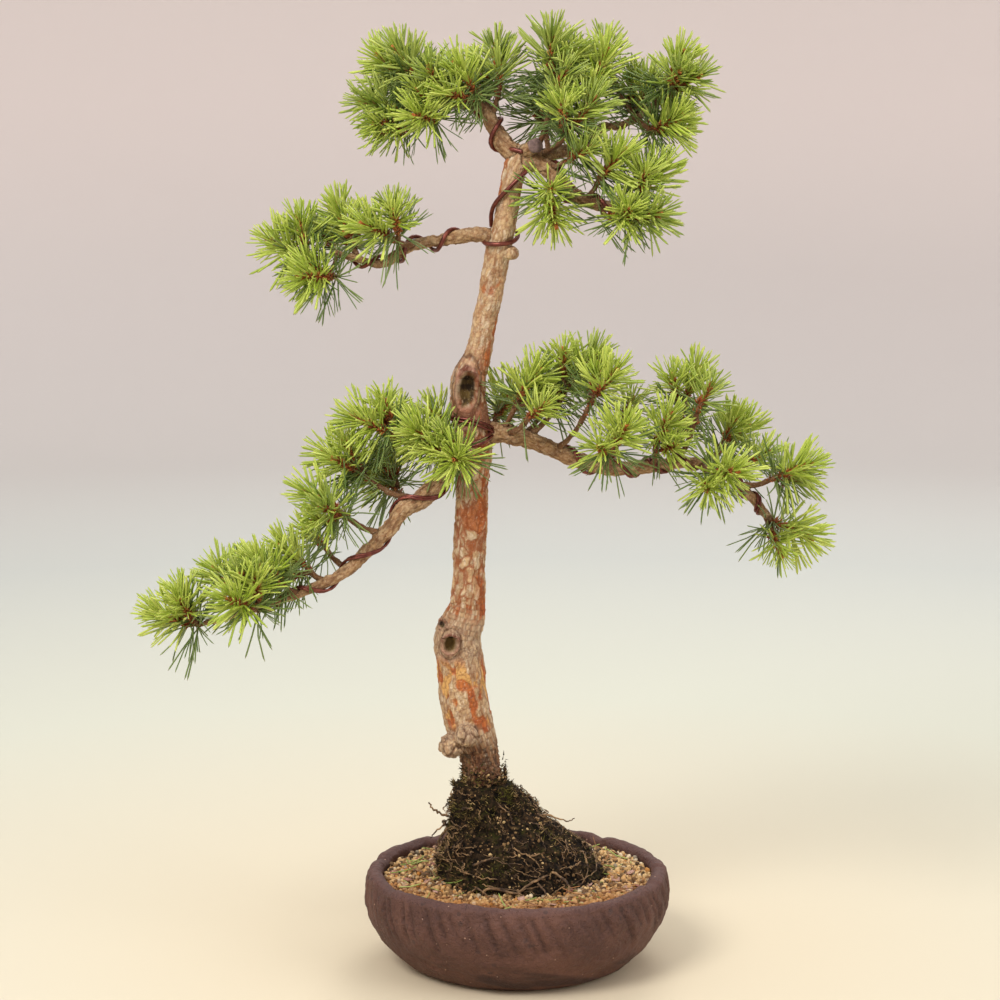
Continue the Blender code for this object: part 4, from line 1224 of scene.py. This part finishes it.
orange = soft.between(0.35, 0.65).mix(srgb(158, 72, 32), srgb(196, 112, 56))
orange = spot.attribute("honey").mix(orange, srgb(216, 166, 98))
colour = (spot.attribute("bared") * 0.95).mix(colour, orange)
colour = (spot.attribute("fine_crack") * 0.55).mix(colour, srgb(118, 72, 44))
colour = (spot.attribute("crack") * 0.9).mix(colour, srgb(146, 78, 40))
# Painted shade: the sunken folds of the burls and the creases beside the knots' healed lips are darkened.
colour = (spot.attribute("fold") * 0.75).mix(colour, srgb(86, 54, 40))
crust = flaky.between(0.42, 0.62).mix(srgb(50, 36, 26), srgb(138, 100, 70))
colour = (spot.attribute("crusty") * 0.8).mix(colour, crust)
scar = soft.between(0.4, 0.6).mix(srgb(104, 58, 42), srgb(178, 132, 110))
colour = (spot.attribute("healed") * 0.8).mix(colour, scar)
rot = soft.between(0.38, 0.62).mix(srgb(46, 32, 20), srgb(118, 96, 52))
colour = spot.attribute("deadwood").mix(colour, rot)
colour = (spot.attribute("pasted") * 0.9).mix(colour, srgb(150, 98, 74))
colour = (speck.between(0.55, 0.75) * 0.35).mix(colour, srgb(92, 62, 46))
colour = ((1 - speck.between(0.3, 0.42)) * 0.3).mix(colour, srgb(222, 200, 172))
relief = (speck + flaky * 1.1 + soft * 0.5).bump(1.0, 0.0011)
settle(
    BARK,
    {"Base Color": colour, "Roughness": speck * 0.2 + 0.7, "Normal": relief},
    {"Specular IOR Level": 0.3},
)
show("tree_wood", wood, BARK, "bark", "trunk_and_branches")


# ---- The training wires ----
# Soft aluminium wire, anodised red-brown. It is wound on by hand at a slant, in a pair of thin
# strands on the two long limbs, and holds by its own stiffness.

WIRE_CROSSINGS = {
    "left": [0.22, 0.47, 0.66, 0.83],
    "right": [0.31, 0.45, 0.54, 0.63, 0.72, 0.81, 0.88],
    "upper_left": [0.32, 0.55, 0.78],
    "apex_left": [0.30, 0.62],
    "apex_right": [0.38, 0.80],
}
PAIRED = ["left", "right"]
TRUNK_WRAPS = {  # (drawn height, turns round the trunk from its front) on the way to the limb
    "left": [(231, 0.42), (226, 0.25), (221, 0.08), (216, -0.12)],
    "right": [(237, -0.30), (236, -0.15), (232, 0.02), (227, 0.16), (224, 0.24)],
    "upper_left": [(352, 0.40), (349, 0.27), (345, 0.14), (342, 0.0), (340, -0.14), (340, -0.24)],
    "apex_left": [(350, -0.36), (358, -0.27), (366, -0.16), (376, -0.02), (386, 0.12), (392, 0.30)],
    "apex_right": [(392, -0.30), (395, -0.16), (397, 0.0)],
}
WIRE_THICK = 0.0027
STRAND_THICK = 0.0018


def round_limb(path, mark, turn, stand_off):
    """The point this far along the limb, as a share of it, and this many turns from its front."""
    steps = [0.0]
    for (a, _), (b, _) in zip(path, path[1:]):
        steps.append(steps[-1] + (b - a).length)
    index = float(np.interp(mark * steps[-1], steps, range(len(path))))
    low = min(int(index), len(path) - 2)
    middle = path[low][0].lerp(path[low + 1][0], index - low)
    radius = path[low][1] + (path[low + 1][1] - path[low][1]) * (index - low)
    heading = heading_at(path, low)
    front = Vector((0, -1, 0))
    front = (front - front.dot(heading) * heading).normalized()
    side = heading.cross(front)
    angle = 2 * math.pi * turn
    return middle + (radius + stand_off) * (math.cos(angle) * front + math.sin(angle) * side)


def wound(name, thick, shift):
    """The wire's coil out along the limb."""
    crossings = WIRE_CROSSINGS[name]
    first = crossings[0] - 0.5 * (crossings[1] - crossings[0])
    last = min(crossings[-1] + 0.5 * (crossings[-1] - crossings[-2]), 0.985)
    marks = [first, *crossings, last]
    turns = [-0.5, *range(len(crossings)), len(crossings) - 0.5]
    hand = -1 if name == "upper_left" else 1
    line = []
    per_turn = 16
    for step in range(int((turns[-1] - turns[0]) * per_turn) + 1):
        turn = turns[0] + step / per_turn
        mark = float(np.interp(turn, turns, marks)) + shift / 0.2
        wobble = 0.00025 * math.sin(5 * turn) + 0.0002
        line.append(round_limb(paths[name], min(mark, 0.995), turn * hand, 0.5 * thick + wobble))
    return line


def trunk_wrap(name, thick, shift):
    """The wire's line from its anchor on the trunk to the limb."""
    heights = [step[2] for step in TRUNK]
    trunk_path = paths["trunk"]
    reach = np.cumsum([0] + [(b[0] - a[0]).length for a, b in zip(trunk_path, trunk_path[1:])])
    index_marks = np.arange(len(trunk_path)) / 4
    spots = []
    for height, turn in TRUNK_WRAPS[name]:
        index = np.interp(height + shift * 1000, heights, range(len(heights)))
        mark = float(np.interp(index, index_marks, reach) / reach[-1])
        spots.append(round_limb(trunk_path, mark, turn, 0.5 * thick + 0.0006))
    return rounded(spots, 6)


WIRE, spot = finish_named("anodised_wire")
dull = spot.noise(0.004, 4.0)
colour = dull.between(0.4, 0.7).mix(srgb(98, 44, 36), srgb(132, 68, 54))
colour = (spot.noise(0.0012).between(0.55, 0.7) * 0.5).mix(colour, srgb(70, 34, 32))
settle(
    WIRE,
    {"Base Color": colour, "Roughness": dull * 0.25 + 0.25, "Normal": dull.bump(0.12, 0.0003)},
    {"Metallic": 0.55, "Specular IOR Level": 0.6},
)
for name in WIRE_CROSSINGS:
    paired = name in PAIRED
    thick = STRAND_THICK if paired else WIRE_THICK
    strands = []
    for shift in ((-0.0010, 0.0010) if paired else (0.0,)):
        for line in (wound(name, thick, shift), trunk_wrap(name, thick, shift)):
            strands.append([(where, 0.5 * thick) for where in line])
    wire_mesh = tubes("wire", strands, 3)
    show(f"wire_{name}", wire_mesh, WIRE, "anodised_wire", f"training_wire_{name}")


# ---- The paste on the sawn leader ----
# Grey-mauve cut paste, pressed on with a thumb over the sawn face while it was soft. It set to
# a matt skin with a thick edge.

stub_end, stub_root = grown(CUT_STUB[1]), grown(CUT_STUB[0])
stub_way = (stub_end - stub_root).normalized()
bm = bmesh.new()
bmesh.ops.create_uvsphere(bm, u_segments=40, v_segments=24, radius=1.0)
paste = mesh_from(bm, "paste")
place = points_of(paste)
place[:, :2] *= 1 + 0.10 * lumps(place, 0.9, 81, 2)[:, None]
place[:, 2] = np.where(place[:, 2] > 0, 0.55 * place[:, 2], place[:, 2])
place *= np.array([0.0050, 0.0047, 0.0036])
outward = place / np.linalg.norm(place, axis=1)[:, None]
place += 0.0005 * lumps(place, 0.003, 82, 2)[:, None] * outward
turn, where = pose(stub_end + 0.0004 * stub_way, stub_way, 0.4, (1, 1, 1))
move_points(paste, place @ turn.T + where)
PASTE, spot = finish_named("cut_paste")
smear = spot.noise(0.003, 4.0)
colour = smear.between(0.35, 0.7).mix(srgb(104, 82, 78), srgb(138, 112, 106))
settle(
    PASTE,
    {"Base Color": colour, "Roughness": smear * 0.2 + 0.55, "Normal": smear.bump(0.5, 0.0006)},
    {},
)
show("paste_cap", paste, PASTE, "cut_paste", "cut_paste_cap")


# ---- The shoots and their needles ----
# Each twig ends in this year's shoot, rough with orange-brown bud scales. Needles stand on it
# in pairs, bright yellow-green when new, with a skirt of longer blue-green ones from last year.

SHOOT_LENGTH = 0.020
NEW_NEEDLE = 0.0225
OLD_NEEDLE = 0.030
OLDER_PAD = {
    "left": 0.16, "right": 0.14, "upper_left": 0.12, "apex_left": 0.38, "apex_back": 0.55,
    "apex_right": 0.22,
}
chance = np.random.default_rng(57)
bm = bmesh.new()
bmesh.ops.create_cone(
    bm, segments=4, radius1=0.30, radius2=0.10, depth=1.0, cap_ends=True,
    matrix=Matrix.Translation((0, 0, 0.5)),
)
bud_scale = triangles(bm, "bud_scale")
bm = bmesh.new()
bmesh.ops.create_cone(
    bm, segments=8, radius1=1.0, radius2=0.75, depth=1.0, cap_ends=True,
    matrix=Matrix.Translation((0, 0, 0.5)),
)
shoot_stem = triangles(bm, "shoot_stem")
needle_kinds = [*YOUNG_NEEDLES, *OLD_NEEDLES, bud_scale, shoot_stem]
SCALE_KIND, STEM_KIND = 6, 7

tufts = {}
for node, foot, way, small, limb, twig in shoots:
    size = chance.uniform(0.62, 0.78) if small else chance.uniform(0.92, 1.12)
    older = OLDER_PAD[limb]
    tired = chance.random() < older
    length = SHOOT_LENGTH * size
    copies = tufts.setdefault(node, [])
    radius = 0.0012 * size
    copies.append((STEM_KIND, pose(foot, way, 0.0, (radius, radius, length)), 0.5, 0.0, 1.0))
    for number in range(int(46 * size)):
        share = number / (46 * size)
        turn = number * GOLDEN_TURN
        out = square_to(way, turn)
        scale_size = chance.uniform(0.0020, 0.0034) * (1.25 - 0.4 * share)
        lean = (out * chance.uniform(0.6, 1.1) + way).normalized()
        where = foot + length * share * way + 0.7 * radius * out
        copies.append(
            (SCALE_KIND, pose(where, lean, turn, [scale_size] * 3), chance.random(), 0.0, 1.0)
        )
    for number in range(6 * len(twig)):
        where = twig[len(twig) // 2 + int(chance.integers(len(twig) - len(twig) // 2))]
        out = Vector(chance.normal(0, 1, 3)).normalized()
        seat = where + 0.001 * out + Vector(chance.normal(0, 0.0007, 3))
        lean = (out + 0.8 * way).normalized()
        scale_size = chance.uniform(0.0014, 0.0026)
        copies.append(
            (SCALE_KIND, pose(seat, lean, 0.0, [scale_size] * 3), 0.6 * chance.random(), 0.0, 1.0)
        )
    for number in range(9):
        turn = number * GOLDEN_TURN
        out = square_to(way, turn)
        lean = (0.35 * out + way).normalized()
        copies.append(
            (SCALE_KIND, pose(foot + length * way, lean, turn, [0.0034 * size] * 3), 0.8, 0.0, 1.0)
        )
    pairs = int((50 if not small else 34) * chance.uniform(0.85, 1.1))
    for number in range(pairs):
        share = (number + 0.5) / pairs
        turn = number * GOLDEN_TURN + chance.normal(0, 0.15)
        out = square_to(way, turn)
        tilt = math.radians(70 - 50 * share**1.2 + chance.normal(0, 16))
        aim = math.cos(tilt) * way + math.sin(tilt) * out + Vector((0, 0, 0.12))
        where = foot + length * (0.10 + 0.92 * share) * way + 0.8 * radius * out
        reach = NEW_NEEDLE * size**0.5 * (1.10 - 0.45 * share**2) * chance.uniform(0.66, 1.16)
        age = 0.42 + chance.normal(0, 0.10) if tired else max(0.0, chance.normal(0.10, 0.10))
        for twin in (-1, 1):
            stray = twin * 0.09 * way.cross(out) + Vector(chance.normal(0, 0.09, 3))
            lean = (aim + stray).normalized()
            kind = int(chance.choice(3, p=(0.4, 0.4, 0.2)))
            grow = reach * chance.uniform(0.93, 1.05)
            copies.append((kind, pose(where, lean, chance.uniform(0, 6.3), [grow] * 3),
                           chance.random(), age, 0.0))
    old_pairs = int((17 if not small else 6) * (1 + 1.2 * older) * chance.uniform(0.8, 1.2))
    for number in range(old_pairs):
        turn = number * GOLDEN_TURN + chance.normal(0, 0.3)
        out = square_to(way, turn)
        tilt = math.radians(chance.uniform(62, 112))
        aim = math.cos(tilt) * way + math.sin(tilt) * out + Vector((0, 0, -0.10))
        where = foot - chance.uniform(-0.002, 0.008) * way + 0.6 * radius * out
        reach = OLD_NEEDLE * chance.uniform(0.62, 1.08) * size**0.5
        for twin in (-1, 1):
            stray = twin * 0.06 * way.cross(out) + Vector(chance.normal(0, 0.05, 3))
            lean = (aim + stray).normalized()
            copies.append((3 + int(chance.integers(3)),
                           pose(where, lean, chance.uniform(0, 6.3), [reach] * 3),
                           chance.random(), 1.0, 0.0))

NEEDLES, spot = finish_named("needles")
tone, age, rise = spot.attribute("tone"), spot.attribute("age"), spot.attribute("along")
new = tone.mix(srgb(158, 180, 54), srgb(208, 218, 106))
old = tone.mix(srgb(82, 104, 48), srgb(132, 148, 82))
colour = age.between(0.05, 0.9).mix(new, old)
colour = ((1 - rise.between(0.0, 0.16)) * 0.7).mix(colour, srgb(196, 190, 120))
colour = (rise.between(0.93, 1.0) * 0.5).mix(colour, srgb(190, 170, 80))
stripe = spot.noise(0.004, 2.0)
colour = (stripe.between(0.4, 0.7) * 0.25).mix(colour, srgb(108, 138, 48))
scaly = tone.mix(srgb(124, 60, 28), srgb(204, 124, 64))
colour = spot.attribute("woody").mix(colour, scaly)
settle(
    NEEDLES,
    {"Base Color": colour, "Roughness": spot.attribute("woody") * 0.35 + 0.42,
     "Normal": spot.noise(0.0006, 2.0).bump(0.25, 0.0001)},
    {"Specular IOR Level": 0.4},
)
for node, copies in tufts.items():
    kinds, poses, tones, ages, woods = zip(*copies)
    marks = {"tone": tones, "age": ages, "woody": woods}
    tuft = strew(node + "_mesh", needle_kinds, kinds, poses, marks)
    show(node.replace("needle_tuft", "tuft"), tuft, NEEDLES, "needles", node)


# ---- The floor, the light and the camera ----
# A seamless pale sweep, cream near the pot and grey farther off, its wall given a faint painted pink glow,
# under one big soft lamp from the front left, a weaker one from the right and one from behind.

STAGE_RADIUS = 3.4
sweep = [(0.0, 0.0), (1.0, 0.0), (2.4, 0.0)]
for step in range(1, 13):
    turn = math.pi / 2 * step / 12
    sweep.append((2.4 + math.sin(turn), 1 - math.cos(turn)))
sweep += [(STAGE_RADIUS, 2.2), (STAGE_RADIUS, 3.5)]
stage_mesh = turned("stage", sweep, 96)
stage_mesh.flip_normals()
BACKDROP, spot = finish_named("backdrop")
far = spot.node("ShaderNodeVectorMath", {"operation": "LENGTH"}, {0: spot}, 1)
paper = (far * (1 / STAGE_RADIUS)).ramp(
    stop(0.0, 217, 202, 174), stop(0.22, 204, 205, 190), stop(0.45, 194, 197, 191),
    stop(0.87, 212, 206, 202),
)
height = spot.upward()
# Painted light: the wall from 0.1 m up glows faintly pink by emission, though it is no lamp.
painted_wall_glow = height.between(0.1, 0.6).mix((0, 0, 0, 1), (0.10, 0.06, 0.05, 1))
settle(
    BACKDROP,
    {"Base Color": paper, "Emission Color": painted_wall_glow},
    {"Roughness": 0.9, "Specular IOR Level": 0.1, "Emission Strength": 1.0},
)
stage_mesh.materials.append(BACKDROP)
stage_mesh.shade_smooth()
stage = bpy.data.objects.new("pale_floor", stage_mesh)
bpy.context.scene.collection.objects.link(stage)

world = bpy.data.worlds.new("soft_room")
world.use_nodes = True
world.node_tree.nodes["Background"].inputs["Color"].default_value = (0.95, 0.97, 1.0, 1.0)
world.node_tree.nodes["Background"].inputs["Strength"].default_value = 1.0
bpy.context.scene.world = world
bpy.context.scene.view_settings.view_transform = "Standard"


def softbox(name, where, aim, size, power, colour):
    lamp = bpy.data.lights.new(name, "AREA")
    lamp.shape = "DISK"
    lamp.size = size
    lamp.energy = power
    lamp.color = colour
    made = bpy.data.objects.new(name, lamp)
    made.location = where
    made.rotation_euler = (Vector(aim) - Vector(where)).to_track_quat("-Z", "Y").to_euler()
    bpy.context.scene.collection.objects.link(made)


softbox("key", (-1.1, -1.5, 1.9), (0, 0, 0.25), 1.1, 41, (1.0, 0.98, 0.95))
softbox("fill", (1.7, -1.1, 1.1), (0, 0, 0.3), 1.4, 14, (0.96, 0.98, 1.0))
softbox("back", (0.4, 1.6, 1.8), (0, 0, 0.3), 1.2, 16, (1.0, 1.0, 1.0))

lens = bpy.data.cameras.new("camera")
lens.lens = 93.85
lens.sensor_width = 36
camera = bpy.data.objects.new("camera", lens)
camera.location = (-0.011, -1.6, 0.53)
camera.rotation_euler = (math.radians(90 - 8.38), 0, 0)
bpy.context.scene.collection.objects.link(camera)
bpy.context.scene.camera = camera
